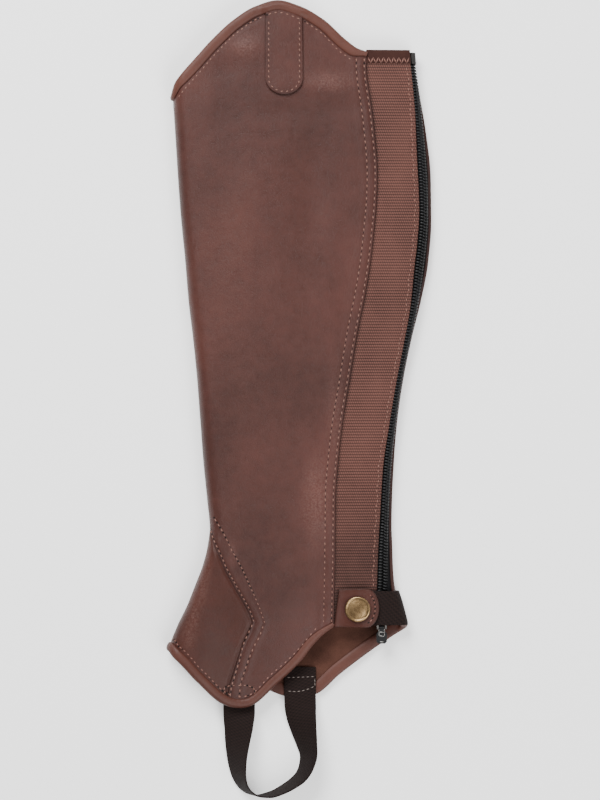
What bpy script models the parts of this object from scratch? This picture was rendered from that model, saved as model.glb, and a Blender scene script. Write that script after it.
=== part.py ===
"""Leather gaiter (half chap) for a rider's left leg, zipped and snapped shut and laid flat, outer side up.

The leg is a soft tube of leather pressed nearly flat. Its outline and its two folds are read from short
tables, and every piece is a patch of that tube's skin: a wall between the skin and the skin moved in, or a
layer moved out. Skin places are given as girth q and height y, in millimetres. Girth is measured from the
fold on the shin: positive over the outer side, which faces up, and negative over the inner side, below.
"""

import math

import bmesh
import bpy
import numpy as np
from mathutils import Matrix, Vector

MM = 0.001

# From the drawing's origin to the middle of the finished piece's footprint, in millimetres
CENTRE_SHIFT = (1.23, -0.3, 0.0)

# Walls and gaps, in millimetres
LEATHER = 1.8
ELASTIC = 1.3
TAPE = 1.0
BINDING = 1.0
WEBBING = 1.2
SEAM_GAP = 0.3
BINDING_GAP = 0.5
EDGE_STEP = 0.6

# Form of the flattened leg
SHIN_RADIUS = 9.0
BACK_RADIUS = 6.0
CROWN = 2.0
HEM_SAG = 6.0
HEM_SAG_FROM = -118.0
HEM_SAG_OVER = 76.0
HEM_SAG_ACROSS = 45.0
EDGE_LIFT = BINDING + BINDING_GAP
EDGE_LIFT_FLAT = 12.0
EDGE_LIFT_FADE = 40.0

# Zip, in girth past the gusset's edge
CHAIN_START = 0.5
CHAIN_END = 6.7
CHAIN_THICK = 2.0
ZIP_OPEN = 10.0
TAPE_UNDERLAP = 7.0
TAPE_LEVEL = -2.2

# Bindings: how far they reach on each face, and how far they stand past the panel's edge
RIM_OUTER_LEG = 5.0
RIM_INNER_LEG = 5.0
HEM_OUTER_LEG = 4.2
HEM_INNER_LEG = 6.0
BINDING_PAST = BINDING_GAP + BINDING

# Elastic gusset: ribs across it
RIB_PITCH = 1.78
RIB_HEIGHT = 0.25
ROWS_PER_INNER_ROW = 4

# Heights of the seams and openings
APEX_Y = -80.0
TONGUE_CORNER_Y = -139.9
GUSSET_TOP_Y = 220.6
GUSSET_HEM = 8.6
GUSSET_BOTTOM_Y = -139.5

# Leg outline: height, shin side, back side
LEG = [
    (252.0, -81.5, 70.6),
    (214.2, -81.0, 73.1),
    (193.4, -80.3, 75.6),
    (170.1, -78.9, 78.8),
    (138.6, -76.9, 81.7),
    (113.4, -75.0, 81.9),
    (88.2, -72.5, 80.0),
    (63.0, -70.4, 75.6),
    (37.8, -67.4, 69.9),
    (12.6, -64.9, 64.9),
    (-12.6, -63.0, 61.1),
    (-37.8, -61.1, 58.6),
    (-63.0, -58.6, 57.3),
    (-80.0, -57.0, 57.0),
    (-91.4, -58.3, 57.5),
    (-104.0, -61.4, 58.1),
    (-116.6, -66.2, 59.7),
    (-129.2, -71.2, 63.3),
    (-143.0, -77.8, 66.5),
    (-156.2, -82.8, 66.8),
    (-195.3, -88.0, 66.8),
]

# Seam of leather panel and gusset: height, place across
GUSSET_SEAM = [
    (219.2, 42.2), (210.4, 42.0), (185.9, 45.0), (170.1, 46.9), (141.8, 48.9), (125.4, 48.4), (108.4, 46.9),
    (88.2, 44.7), (68.7, 41.6), (43.5, 36.5), (9.5, 30.9), (-12.6, 27.1), (-37.8, 24.2), (-60.5, 22.5),
    (-100.8, 22.2), (-139.9, 21.4),
]

# Gusset edge beside the zip: height, place across
ZIP_EDGE = [
    (219.2, 69.3), (178.9, 72.6), (153.1, 73.7), (131.0, 74.8), (119.7, 75.1), (97.0, 73.7), (88.2, 72.6),
    (59.9, 69.7), (34.7, 65.3), (9.5, 60.5), (-15.1, 56.3), (-43.5, 52.3), (-69.3, 50.7), (-100.8, 49.0),
    (-120.3, 48.4), (-139.9, 47.9),
]

# Seam of leg panel and instep panel, the same on both sides: height, place across
TONGUE = [
    (-80.0, -57.0), (-82.6, -56.65), (-85.5, -55.6), (-95.0, -52.4), (-107.0, -47.2), (-120.5, -39.7), (-133.0, -32.6),
    (-139.9, -29.9), (-148.0, -32.8), (-167.0, -40.3), (-180.8, -44.7), (-192.8, -46.0),
]

# Finished edges, outside their binding: place across, height
RIM_OUTER = [
    (-80.3, 192.8), (-77.5, 201.6), (-66.8, 214.2), (-55.4, 226.8), (-41.6, 239.4), (-28.4, 247.6),
    (-13.9, 251.6), (0.0, 247.9), (15.1, 239.4), (29.0, 226.8), (36.5, 221.4), (42.2, 219.4),
]
RIM_INNER = [
    (-80.3, 192.8), (-77.0, 197.0), (-60.0, 207.0), (-40.0, 213.5), (-10.0, 217.0), (30.0, 217.5),
    (65.0, 217.5), (90.0, 217.5),
]
HEM_OUTER = [
    (-83.0, -158.1), (-78.1, -163.8), (-64.6, -177.7), (-48.8, -191.5), (-42.8, -193.7), (-37.8, -194.2),
    (-32.8, -193.5), (-28.4, -191.5), (-15.8, -180.2), (0.0, -165.1), (15.8, -146.8), (22.7, -141.8),
]
HEM_INNER = [
    (-83.0, -158.1), (-78.0, -161.9), (-63.0, -171.4), (-41.0, -178.9), (-24.0, -182.0), (-9.5, -187.1),
    (0.0, -188.0), (10.1, -185.9), (25.2, -173.3), (54.2, -151.8), (60.8, -147.5), (70.2, -143.2),
    (79.7, -141.2), (88.0, -140.6),
]

# Stirrup strap: place across, height, middle of its thickness above the table, turn about its own run
STRAP_WIDTH = 20.0
STRAP = [
    (-38.4, -179.5, 8.3, -3),
    (-38.4, -191.5, 7.6, -3),
    (-38.4, -196.0, 7.5, 0),
    (-38.5, -201.0, 8.2, 12),
    (-38.7, -206.6, 9.2, 25),
    (-39.4, -215.5, 9.9, 38),
    (-39.7, -224.3, 10.4, 49),
    (-39.1, -233.1, 10.7, 58),
    (-36.9, -241.3, 10.9, 68),
    (-32.1, -247.0, 10.9, 78),
    (-25.8, -249.4, 10.9, 88),
    (-18.3, -248.6, 10.8, 97),
    (-11.3, -245.7, 10.7, 102),
    (-4.4, -241.6, 10.6, 106),
    (0.9, -236.9, 10.4, 111),
    (4.1, -230.6, 10.2, 117),
    (5.4, -223.7, 9.8, 123),
    (4.1, -215.5, 9.1, 133),
    (2.2, -206.6, 8.0, 147),
    (0.6, -197.8, 6.9, 164),
    (0.1, -191.0, 6.0, 178),
    (0.0, -183.0, 5.95, 180),
    (0.0, -178.5, 5.75, 180),
    (0.0, -172.0, 4.6, 180),
    (0.0, -168.7, 4.3, 180),
]

# Closing strap: leather tab with its snap, and the elastic behind it
TAB_TOP_Y = -119.0
TAB_BOTTOM_Y = -143.0
TAB_LEFT_TOP = 24.4
TAB_LEFT_BOTTOM = 22.2
TAB_TIP = 50.2
TAB_LIFT_LEFT = 0.0
TAB_LIFT_RIGHT = 3.25
BAND_TOP_Y = -120.3
BAND_BOTTOM_Y = -141.8
BAND_START = 43.0
BAND_LIFT = 1.85
BAND = 1.1
BAND_END_ANGLE = math.radians(38)
SNAP_CENTRE = (36.5, -131.7)
SNAP_RADIUS = 8.0
SNAP_THICK = 2.4
SOCKET_RADIUS = 3.5

# Pull tab sewn to the top edge
TOP_TAB_LEFT = -21.7
TOP_TAB_RIGHT = 1.6
TOP_TAB_BOTTOM_Y = 191.9
TOP_TAB_THICK = 1.4
TOP_TAB_CLEAR = 0.5
TOP_TAB_HIGHEST_Y = 243.4

# Slider and its pull
SLIDER_TOP_Y = -130.0
SLIDER_BOTTOM_Y = -141.4
SLIDER_WIDTH = 6.6
SLIDER_TAIL_WIDTH = 6.4
SLIDER_TOP_LEVEL = 1.0
LUG_LENGTH = 2.9
LUG_WIDTH = 1.1
PIVOT_DROP = 1.6
PULL_WIDTH = 6.6
PULL_LENGTH = 10.4
PULL_THICK = 1.5
BARREL_RADIUS = 1.1
BARREL_LENGTH = 3.4


def smooth_through(rows):
    """A smooth curve through rows of (input, output) that never swings past them, as a function of arrays."""
    table = np.array(sorted(rows), float)
    xs, ys = table[:, 0], table[:, 1]
    step, rise = np.diff(xs), np.diff(ys) / np.diff(xs)
    slope = np.zeros_like(ys)
    slope[0], slope[-1] = rise[0], rise[-1]
    same_way = rise[:-1] * rise[1:] > 0
    before, after = 2 * step[1:] + step[:-1], step[1:] + 2 * step[:-1]
    with np.errstate(divide="ignore", invalid="ignore"):
        mean = (before + after) / (before / rise[:-1] + after / rise[1:])
    slope[1:-1] = np.where(same_way, mean, 0.0)

    def curve(x):
        x = np.asarray(x, float)
        i = np.clip(np.searchsorted(xs, x) - 1, 0, len(step) - 1)
        t = (x - xs[i]) / step[i]
        inside = np.clip(t, 0, 1)
        a, b = inside * inside * (3 - 2 * inside), inside * (1 - inside)
        value = ys[i] * (1 - a) + ys[i + 1] * a
        value += step[i] * b * (slope[i] * (1 - inside) - slope[i + 1] * inside)
        end = np.where(t > 1, slope[i + 1], slope[i])
        return value + end * (t - inside) * step[i]

    return curve


def ease(t):
    """Rises smoothly from 0 to 1 while t does."""
    t = np.clip(t, 0, 1)
    return t * t * (3 - 2 * t)


shin_side = smooth_through([(y, left) for y, left, right in LEG])
back_side = smooth_through([(y, right) for y, left, right in LEG])
QUARTER = SHIN_RADIUS * math.pi / 2
HALF_TURN = BACK_RADIUS * math.pi


def flat_run(y):
    """Width of the flat between the two folds at height y."""
    return back_side(y) - BACK_RADIUS - shin_side(y) - SHIN_RADIUS


def girth_at(x, y):
    """Girth from the shin fold to the place seen at x from above, on the outer side."""
    from_shin = np.clip(1 - (x - shin_side(y)) / SHIN_RADIUS, 0, 1)
    into_back = np.clip((x - back_side(y) + BACK_RADIUS) / BACK_RADIUS, 0, 1)
    along = np.clip(x - shin_side(y) - SHIN_RADIUS, 0, flat_run(y))
    return SHIN_RADIUS * np.arccos(from_shin) + along + BACK_RADIUS * np.arcsin(into_back)


def unrolled_girth(x, y):
    """Girth of a place on the inner side, where x past the back fold is measured along the cloth."""
    past_flat = np.maximum(x - back_side(y) + BACK_RADIUS, 0)
    return girth_at(np.minimum(x, back_side(y) - BACK_RADIUS), y) + past_flat


def gusset_seam_girth(y):
    return girth_at(smooth_through(GUSSET_SEAM)(y), y)


def zip_girth(y):
    return girth_at(smooth_through(ZIP_EDGE)(y), y)


def tongue_girth(y):
    """Girth of the instep seam, straight between its rows, and of the shin fold above its apex."""
    heights, places = np.array(TONGUE[::-1], float).T
    girths = girth_at(places, heights)
    girths[-1] = 0.0
    return np.interp(y, heights, girths)


def whole_girth(y):
    """Girth once round the leg."""
    return 2 * QUARTER + 2 * flat_run(y) + HALF_TURN


def back_edge_girth(y):
    """Girth from the shin fold, over the inner side, to the leather's edge beside the zip."""
    return whole_girth(y) - zip_girth(y) - ZIP_OPEN


def finished_edge(outer, inner):
    """Height of a finished edge at girth q, from its two tables."""
    rows = [(float(girth_at(x, y)), y) for x, y in outer]
    rows += [(-float(unrolled_girth(x, y)), y) for x, y in inner[1:]]
    return smooth_through(rows)


rim = finished_edge(RIM_OUTER, RIM_INNER)
hem = finished_edge(HEM_OUTER, HEM_INNER)


def set_back(edge, way, distance=BINDING_PAST):
    """A line inside a finished edge, at one distance square to it, below it for way -1."""

    def inner(q):
        slope = edge(q + 0.5) - edge(q - 0.5)
        return edge(q) + way * distance * np.sqrt(1 + slope * slope)

    return inner


panel_top = set_back(rim, -1)
panel_bottom = set_back(hem, 1)


def upper_height(x, y):
    """Height above the table of the outer side's face: it falls from the shin to the back, crowned between."""
    left, width = shin_side(y) + SHIN_RADIUS, flat_run(y)
    across = np.clip((x - left) / width, 0, 1)
    height = 2 * SHIN_RADIUS + 2 * (BACK_RADIUS - SHIN_RADIUS) * across
    sag = HEM_SAG * ease((HEM_SAG_FROM - y) / HEM_SAG_OVER) * ease((x - left) / HEM_SAG_ACROSS)
    sag = sag * ease((back_side(y) - BACK_RADIUS - x) / HEM_SAG_ACROSS)
    return height + CROWN * np.sin(math.pi * across) - sag


def lower_height(q, y):
    """The inner side lies on the table, and rises by the binding's thickness along its bound edges."""
    q = np.where(q > 0, q - whole_girth(y), q)
    nearest = np.minimum(rim(q) - y, y - hem(q))
    return EDGE_LIFT * (1 - ease((nearest - EDGE_LIFT_FLAT) / EDGE_LIFT_FADE))


def skin_line(q, y):
    """(x, z) on the skin: round the shin fold, along the flat, round the back fold, back along the other face."""
    side, s = np.where(q >= 0, 1.0, -1.0), np.abs(q)
    turn = np.clip(s, 0, QUARTER) / SHIN_RADIUS
    along = np.clip(s - QUARTER, 0, flat_run(y))
    bend = np.clip(s - QUARTER - flat_run(y), 0, HALF_TURN) / BACK_RADIUS
    beyond = np.maximum(s - QUARTER - flat_run(y) - HALF_TURN, 0)
    x = shin_side(y) + SHIN_RADIUS * (1 - np.cos(turn)) + along + BACK_RADIUS * np.sin(bend) - beyond
    up = side > 0
    lift = lower_height(q, y)
    shin = SHIN_RADIUS + side * SHIN_RADIUS * np.sin(turn)
    back = BACK_RADIUS + side * BACK_RADIUS * np.cos(bend)
    flat = np.where(up, upper_height(x, y), lift)
    over = np.where(up, lift, upper_height(x, y))
    z = np.where(s <= QUARTER, shin + np.where(up, 0, lift * np.sin(turn)), flat)
    z = np.where(bend > 0, back + lift * np.where(up, np.sin(bend / 2) ** 2, np.cos(bend / 2) ** 2), z)
    return x, np.where(beyond > 0, over, z)


def outer_side(x, y, out):
    """Points on the outer side at the place seen at x from above, moved out square to the skin."""
    return skin(girth_at(x, y), y, out)


def skin(q, y, out=0.0):
    """Points on the skin at girth q and height y, moved out square to it."""
    q, y, out = np.broadcast_arrays(np.asarray(q, float), np.asarray(y, float), np.asarray(out, float))
    x, z = skin_line(q, y)
    x1, z1 = skin_line(q - 0.4, y)
    x2, z2 = skin_line(q + 0.4, y)
    length = np.hypot(x2 - x1, z2 - z1)
    points = np.stack([x - out * (z2 - z1) / length, y, z + out * (x2 - x1) / length], -1)
    return points


def material(name, colour, roughness, metallic=0.0):
    made = bpy.data.materials.new(name)
    made.use_nodes = True
    shader = made.node_tree.nodes["Principled BSDF"]
    shader.inputs["Base Color"].default_value = (*colour, 1)
    shader.inputs["Roughness"].default_value = roughness
    shader.inputs["Metallic"].default_value = metallic
    made.diffuse_color = (*colour, 1)
    return made


def add_object(name, points, faces, finish):
    """One closed mesh, in millimetres, as an object in metres with its faces pointing out."""
    mesh = bpy.data.meshes.new(name)
    mesh.from_pydata((np.asarray(points).reshape(-1, 3) * MM).tolist(), [], [list(map(int, f)) for f in faces])
    shape = bmesh.new()
    shape.from_mesh(mesh)
    bmesh.ops.recalc_face_normals(shape, faces=shape.faces)
    shape.to_mesh(mesh)
    shape.free()
    mesh.materials.append(finish)
    mesh.shade_smooth()
    mesh.set_sharp_from_angle(angle=math.radians(40))
    made = bpy.data.objects.new(name, mesh)
    bpy.context.scene.collection.objects.link(made)
    return made


def grid_faces(index):
    """Quads between the rows and columns of a grid of point numbers, leaving out those with no area."""
    faces = []
    for low, high in zip(index[:-1], index[1:]):
        for corner in zip(low[:-1], low[1:], high[1:], high[:-1]):
            distinct = list(dict.fromkeys(corner))
            if len(distinct) > 2:
                faces.append(distinct)
    return faces


def open_edges(faces):
    """Edges that only one face has, in that face's direction."""
    seen = {}
    for face in faces:
        for a, b in zip(face, face[1:] + face[:1]):
            seen.setdefault((min(a, b), max(a, b)), []).append((a, b))
    return [ways[0] for ways in seen.values() if len(ways) == 1]


def wall(name, outer, inner, faces, finish):
    """A closed wall: one sheet of faces on the outer points, its copy on the inner points, joined at the edges."""
    count = len(outer)
    whole = list(faces) + [[i + count for i in reversed(face)] for face in faces]
    whole += [[b, a, a + count, b + count] for a, b in open_edges(faces)]
    return add_object(name, np.concatenate([outer, inner]), whole, finish)


def patch(name, girths, heights, top, thick, finish):
    """A plain wall over one grid of skin places, its outer face moved out by top."""
    index = np.arange(girths.size).reshape(girths.shape)
    outer = skin(girths, heights, top).reshape(-1, 3)
    inner = skin(girths, heights, top - thick).reshape(-1, 3)
    return wall(name, outer, inner, grid_faces(index), finish)


def loft(name, rings, finish, closed=False):
    """A solid through rings of points, with a flat cap on each end unless the rings close on themselves."""
    rings = np.asarray(rings)
    count, around = rings.shape[:2]
    faces = []
    for i in range(count if closed else count - 1):
        low, high = i * around, (i + 1) % count * around
        faces += [[low + j, low + (j + 1) % around, high + (j + 1) % around, high + j] for j in range(around)]
    if not closed:
        faces += [list(range(around)), list(range(len(rings) * around - 1, (count - 1) * around - 1, -1))]
    return add_object(name, rings, faces, finish)


# Leg panel: one piece of leather from the gusset's seam, round the shin, to the zip's far side

SHIN_COLUMNS = 5
OUTER_COLUMNS = 11
INNER_COLUMNS = 10
BACK_COLUMNS = 7
LOW_ROWS = 3
HIGH_ROWS = 24


def notch_levels(bottom):
    """Heights of the seam's points, from the hem up to the apex on the shin."""
    low = np.linspace(bottom, TONGUE_CORNER_Y, LOW_ROWS + 1)
    high = sorted(y for y, place in TONGUE if y > TONGUE_CORNER_Y)
    return np.concatenate([low, high])


def seam_foot(side):
    """Height where the instep seam meets the hem on one side."""
    y = -185.0
    for _ in range(20):
        y = float(panel_bottom(side * tongue_girth(np.array(y))))
    return y


def outer_columns(y):
    """Girths of the outer side's columns at heights y, from the shin fold or instep seam to the gusset."""
    end = gusset_seam_girth(y)
    round_shin = np.linspace(0, QUARTER, SHIN_COLUMNS + 1)
    flat = np.linspace(0, 1, OUTER_COLUMNS + 1)[1:]
    base = np.concatenate([np.broadcast_to(round_shin[:, None], (SHIN_COLUMNS + 1, y.shape[-1])),
                           QUARTER + flat[:, None] * (end - QUARTER)])
    start = tongue_girth(y)
    return start + (end - start) * base / end


def inner_columns(y):
    """Girths of the inner side's columns at heights y, from the shin fold or instep seam to the back edge."""
    end, flat_end = back_edge_girth(y), QUARTER + flat_run(y)
    round_shin = np.linspace(0, QUARTER, SHIN_COLUMNS + 1)
    flat = np.linspace(0, 1, INNER_COLUMNS + 1)[1:]
    back = np.linspace(0, 1, BACK_COLUMNS + 1)[1:]
    base = np.concatenate([np.broadcast_to(round_shin[:, None], (SHIN_COLUMNS + 1, y.shape[-1])),
                           QUARTER + flat[:, None] * (flat_end - QUARTER),
                           flat_end + back[:, None] * (end - flat_end)])
    return -(base + tongue_girth(y) * (1 - base / end) ** 2)


def meet(columns, edge, guess):
    """Heights where each column reaches an edge, found by walking along the column."""
    count = len(columns(np.array([0.0])))
    y = np.full(count, guess, float)
    for _ in range(30):
        y = edge(np.diagonal(columns(y)))
    return y


def leg_half(columns, foot):
    """Girth and height of one side's grid: rows from the hem to the top edge."""
    bottom, top = meet(columns, panel_bottom, foot), meet(columns, panel_top, 200.0)
    levels = notch_levels(bottom[0])
    levels = np.concatenate([levels, np.linspace(APEX_Y, top[0], HIGH_ROWS + 1)[1:]])
    share = (levels - levels[0]) / (levels[-1] - levels[0])
    heights = bottom + share[:, None] * (top - bottom)
    girths = np.stack([np.diagonal(columns(row)) for row in heights])
    return girths, heights


def make_leg_panel(outer_half, inner_half, finish):
    """One sheet over both halves, which share their points along the shin fold above the instep."""
    outer_q, outer_y = outer_half
    inner_q, inner_y = inner_half
    index = np.arange(outer_q.size).reshape(outer_q.shape)
    other = outer_q.size + np.arange(inner_q.size).reshape(inner_q.shape)
    apex_row = len(notch_levels(0.0)) - 1
    other[apex_row:, 0] = index[apex_row:, 0]
    q = np.concatenate([outer_q.ravel(), inner_q.ravel()])
    y = np.concatenate([outer_y.ravel(), inner_y.ravel()])
    faces = grid_faces(index.tolist()) + grid_faces(other[:, ::-1].tolist())
    used = sorted({i for face in faces for i in face})
    number = {old: new for new, old in enumerate(used)}
    faces = [[number[i] for i in face] for face in faces]
    q, y = q[used], y[used]
    wall("leg_panel", skin(q, y), skin(q, y, -LEATHER), faces, finish)


# Instep panel: wraps the shin fold below the apex, on both sides

INSTEP_FOLD_COLUMNS = 6
INSTEP_FLAT_COLUMNS = 5
INSTEP_TIP = 1.8


def instep_grid():
    """Girth and height of the instep's grid: rows from its tip down to the hem, seam to seam across."""
    fold_share = QUARTER / float(tongue_girth(np.array(seam_foot(1))))
    half = np.concatenate([np.linspace(0, fold_share, INSTEP_FOLD_COLUMNS + 1),
                           np.linspace(fold_share, 1, INSTEP_FLAT_COLUMNS + 1)[1:]])
    across = np.concatenate([-half[:0:-1], half])
    feet = {side: seam_foot(side) for side in (-1, 1)}
    share = {}
    for side in (-1, 1):
        levels = notch_levels(feet[side])[::-1].copy()
        levels[0] = APEX_Y - INSTEP_TIP
        share[side] = (APEX_Y - levels) / (APEX_Y - feet[side])

    def girth(u, y):
        return u * (tongue_girth(y) - SEAM_GAP)

    bottom = np.full(len(across), -170.0)
    for _ in range(40):
        bottom = panel_bottom(girth(across, bottom))
    toward = (1 + across) / 2
    rows = share[-1][:, None] * (1 - toward) + share[1][:, None] * toward
    heights = APEX_Y + rows * (bottom - APEX_Y)
    return girth(across, heights), heights


# Elastic gusset: ribs raised on the outer face over a plain inside

def make_gusset(finish, hem_finish):
    bottom, top = GUSSET_BOTTOM_Y, GUSSET_TOP_Y - GUSSET_HEM - SEAM_GAP
    ribs = int((top - bottom) / RIB_PITCH)
    inner_rows = -(-2 * ribs // ROWS_PER_INNER_ROW)
    outer_rows = inner_rows * ROWS_PER_INNER_ROW
    across = np.array([0.0, 0.8, 1.0])

    def places(rows):
        heights = np.broadcast_to(np.linspace(bottom, top, rows + 1)[:, None], (rows + 1, len(across)))
        start = gusset_seam_girth(heights) + SEAM_GAP
        return start + across * (zip_girth(heights) - start), heights

    outer_q, outer_y = places(outer_rows)
    inner_q, inner_y = places(inner_rows)
    raised = RIB_HEIGHT * (np.arange(outer_rows + 1) % 2)[:, None] - EDGE_STEP - RIB_HEIGHT
    outer = skin(outer_q, outer_y, raised).reshape(-1, 3)
    inner = skin(inner_q, inner_y, -EDGE_STEP - ELASTIC).reshape(-1, 3)
    top_index = np.arange(len(outer)).reshape(outer_q.shape)
    low_index = len(outer) + np.arange(len(inner)).reshape(inner_q.shape)
    faces = grid_faces(top_index.tolist()) + grid_faces(low_index[:, ::-1].tolist())
    for column, flip in ((0, False), (-1, True)):
        ridge, plain = top_index[:, column], low_index[:, column]
        for j in range(inner_rows):
            first = j * ROWS_PER_INNER_ROW
            middle = first + ROWS_PER_INNER_ROW // 2
            for i in range(first, first + ROWS_PER_INNER_ROW):
                near = plain[j] if i < middle else plain[j + 1]
                faces.append([ridge[i + 1], ridge[i], near])
            faces.append([ridge[middle], plain[j], plain[j + 1]])
            if flip:
                fresh = ROWS_PER_INNER_ROW + 1
                faces[-fresh:] = [face[::-1] for face in faces[-fresh:]]
    for row_top, row_low in ((top_index[0], low_index[0]), (top_index[-1, ::-1], low_index[-1, ::-1])):
        faces += [[row_top[i], row_low[i], row_low[i + 1], row_top[i + 1]] for i in range(len(across) - 1)]
    add_object("elastic_gusset", np.concatenate([outer, inner]), faces, finish)

    levels = np.linspace(GUSSET_TOP_Y - GUSSET_HEM, GUSSET_TOP_Y, 4)
    heights = np.broadcast_to(levels[:, None], (4, 8))
    start = gusset_seam_girth(heights) + 3 * SEAM_GAP
    girths = start + np.linspace(0, 1, 8) * (zip_girth(heights) - start)
    patch("gusset_hem", girths, heights, 0.2, ELASTIC + EDGE_STEP + 0.2, hem_finish)


# Bindings: a strip of leather folded over an edge

def binding_section(outer_leg, inner_leg):
    """(across, out) of the folded strip, for a panel that lies at across > 0 and out from -LEATHER to 0."""
    gap, past = BINDING_GAP, BINDING_PAST
    top, bottom = gap + BINDING, -LEATHER - gap - BINDING
    return np.array([
        (outer_leg, gap), (outer_leg, top), (outer_leg / 2, top), (0.3, top), (-0.6 * past, 0.75 * top), (-past, -LEATHER / 2 + 0.7),
        (-past, -LEATHER / 2 - 0.7), (-0.6 * past, bottom + 0.35), (0.3, bottom), (inner_leg, bottom),
        (inner_leg, -LEATHER - gap), (-gap, -LEATHER - gap), (-gap, gap), (outer_leg / 2, gap),
    ])


def slide(q, low, y):
    """Change in girth from height low to y along a panel's column, which keeps to the sides of the cut."""
    girth, seam = np.abs(q), tongue_girth(low)
    fold_low, back_low, gusset_low = QUARTER + flat_run(low), back_edge_girth(low), gusset_seam_girth(low)
    fold, back, gusset = QUARTER + flat_run(y), back_edge_girth(y), gusset_seam_girth(y)
    over_flat = np.clip((girth - seam) / (fold_low - seam), 0, 1)
    over_back = np.clip((girth - fold_low) / (back_low - fold_low), 0, 1)
    inner = over_flat * (1 - over_back) * (fold - fold_low) + over_back * (back - back_low)
    outer = np.clip((girth - seam) / (gusset_low - seam), 0, 1) * (gusset - gusset_low)
    return np.where(q < 0, -inner, outer)


def make_binding(name, edge, way, girths, outer_leg, inner_leg, finish):
    """Carries the folded strip along a finished edge. way is 1 where the panel lies above the edge."""
    section = binding_section(outer_leg, inner_leg)
    panel_edge = set_back(edge, way)
    heights = panel_edge(girths)
    run = np.stack([np.gradient(girths), np.gradient(heights)], -1)
    run /= np.linalg.norm(run, axis=1)[:, None]
    inward = np.stack([-run[:, 1], run[:, 0]], -1)
    inward *= (np.sign(inward[:, 1]) * way)[:, None]
    y = heights[:, None] + inward[:, 1:] * section[:, 0]
    q = girths[:, None] + inward[:, :1] * section[:, 0] + slide(girths[:, None], heights[:, None], y)
    points = skin(q, y, section[:, 1])
    points[..., 2] = np.maximum(points[..., 2], 0)
    loft(name, points, finish)


def finer_in_folds(girths, y):
    """Adds a place halfway between each two that lie in the shin fold or the back fold."""
    middle = (girths[1:] + girths[:-1]) / 2
    in_fold = (np.abs(middle) < QUARTER) | (np.abs(middle) > QUARTER + flat_run(y) - 2)
    return np.sort(np.concatenate([girths, middle[in_fold]]))


def make_bindings(outer_half, inner_half, instep, finish):
    """Both bindings turn at the same points as the panels' edges, so that they stay parallel to them."""
    top = finer_in_folds(np.concatenate([inner_half[0][-1, ::-1], outer_half[0][-1, 1:]]), 214.0)
    make_binding("top_binding", rim, -1, top, RIM_OUTER_LEG, RIM_INNER_LEG, finish)
    foot = np.concatenate([inner_half[0][0, :0:-1], instep[0][-1], outer_half[0][0, 1:]])
    foot = finer_in_folds(foot, -145.0)
    make_binding("hem_binding", hem, 1, foot, HEM_OUTER_LEG, HEM_INNER_LEG, finish)


# Zip: two tapes, the closed chain, the retainer at the top

TAPE_ROWS = 21
TAPE_COLUMNS = 8
TAPE_FOOT_NOTCH_Y = -131.6
TAPE_HEAD_NOTCH_Y = 209.4


def tape(name, start, end, short_end, finish):
    """A tape from girth start to end past the gusset's edge, cut back to short_end beside both bindings."""
    levels = np.linspace(TAPE_FOOT_NOTCH_Y, TAPE_HEAD_NOTCH_Y, TAPE_ROWS)
    foot, head = [GUSSET_BOTTOM_Y, TAPE_FOOT_NOTCH_Y - 1.0], [TAPE_HEAD_NOTCH_Y + 1.0, GUSSET_TOP_Y - 1.5]
    levels = np.concatenate([foot, levels, head])
    ends = np.full(len(levels), end)
    ends[:2] = ends[-2:] = short_end
    heights = np.broadcast_to(levels[:, None], (len(levels), TAPE_COLUMNS))
    girths = zip_girth(heights) + start + np.linspace(0, 1, TAPE_COLUMNS) * (ends - start)[:, None]
    patch(name, girths, heights, TAPE_LEVEL, TAPE, finish)


def zip_block(name, bottom, top, start, end, low, high, rows, finish):
    """A low rounded bar along the zip, between two heights and two girths past the gusset's edge."""
    heights = np.linspace(bottom, top, rows + 1)[:, None]
    middle, half = (start + end) / 2, (end - start) / 2
    corners = np.linspace(0, math.pi, 7)
    over = np.stack([-np.cos(corners) * half, low + (high - low) * np.sin(corners) ** 0.6], -1)
    under = np.array([(half * 0.5, low), (-half * 0.5, low)])
    section = np.concatenate([over, under])
    loft(name, skin(zip_girth(heights) + middle + section[:, 0], heights, section[:, 1]), finish)


def make_zip(tape_finish, chain_finish, metal):
    centre = (CHAIN_START + CHAIN_END) / 2
    middle = centre - SEAM_GAP / 2
    tape("zip_tape_outer", -TAPE_UNDERLAP, middle, middle, tape_finish)
    tape("zip_tape_inner", middle + SEAM_GAP, ZIP_OPEN + TAPE_UNDERLAP, ZIP_OPEN - 3 * SEAM_GAP, tape_finish)
    low = TAPE_LEVEL + SEAM_GAP
    zip_block("zip_chain", SLIDER_TOP_Y + SEAM_GAP, GUSSET_TOP_Y - GUSSET_HEM - 0.6, CHAIN_START, CHAIN_END,
              low, low + CHAIN_THICK, 30, chain_finish)
    zip_block("zip_retainer", GUSSET_TOP_Y - GUSSET_HEM, GUSSET_TOP_Y - 1.6, CHAIN_START, CHAIN_END,
              low, low + CHAIN_THICK + 0.4, 2, metal)


def slider_middle(y):
    """Place across of the chain's middle."""
    return skin(zip_girth(np.asarray(y, float)) + (CHAIN_START + CHAIN_END) / 2, y)[..., 0]


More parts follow.
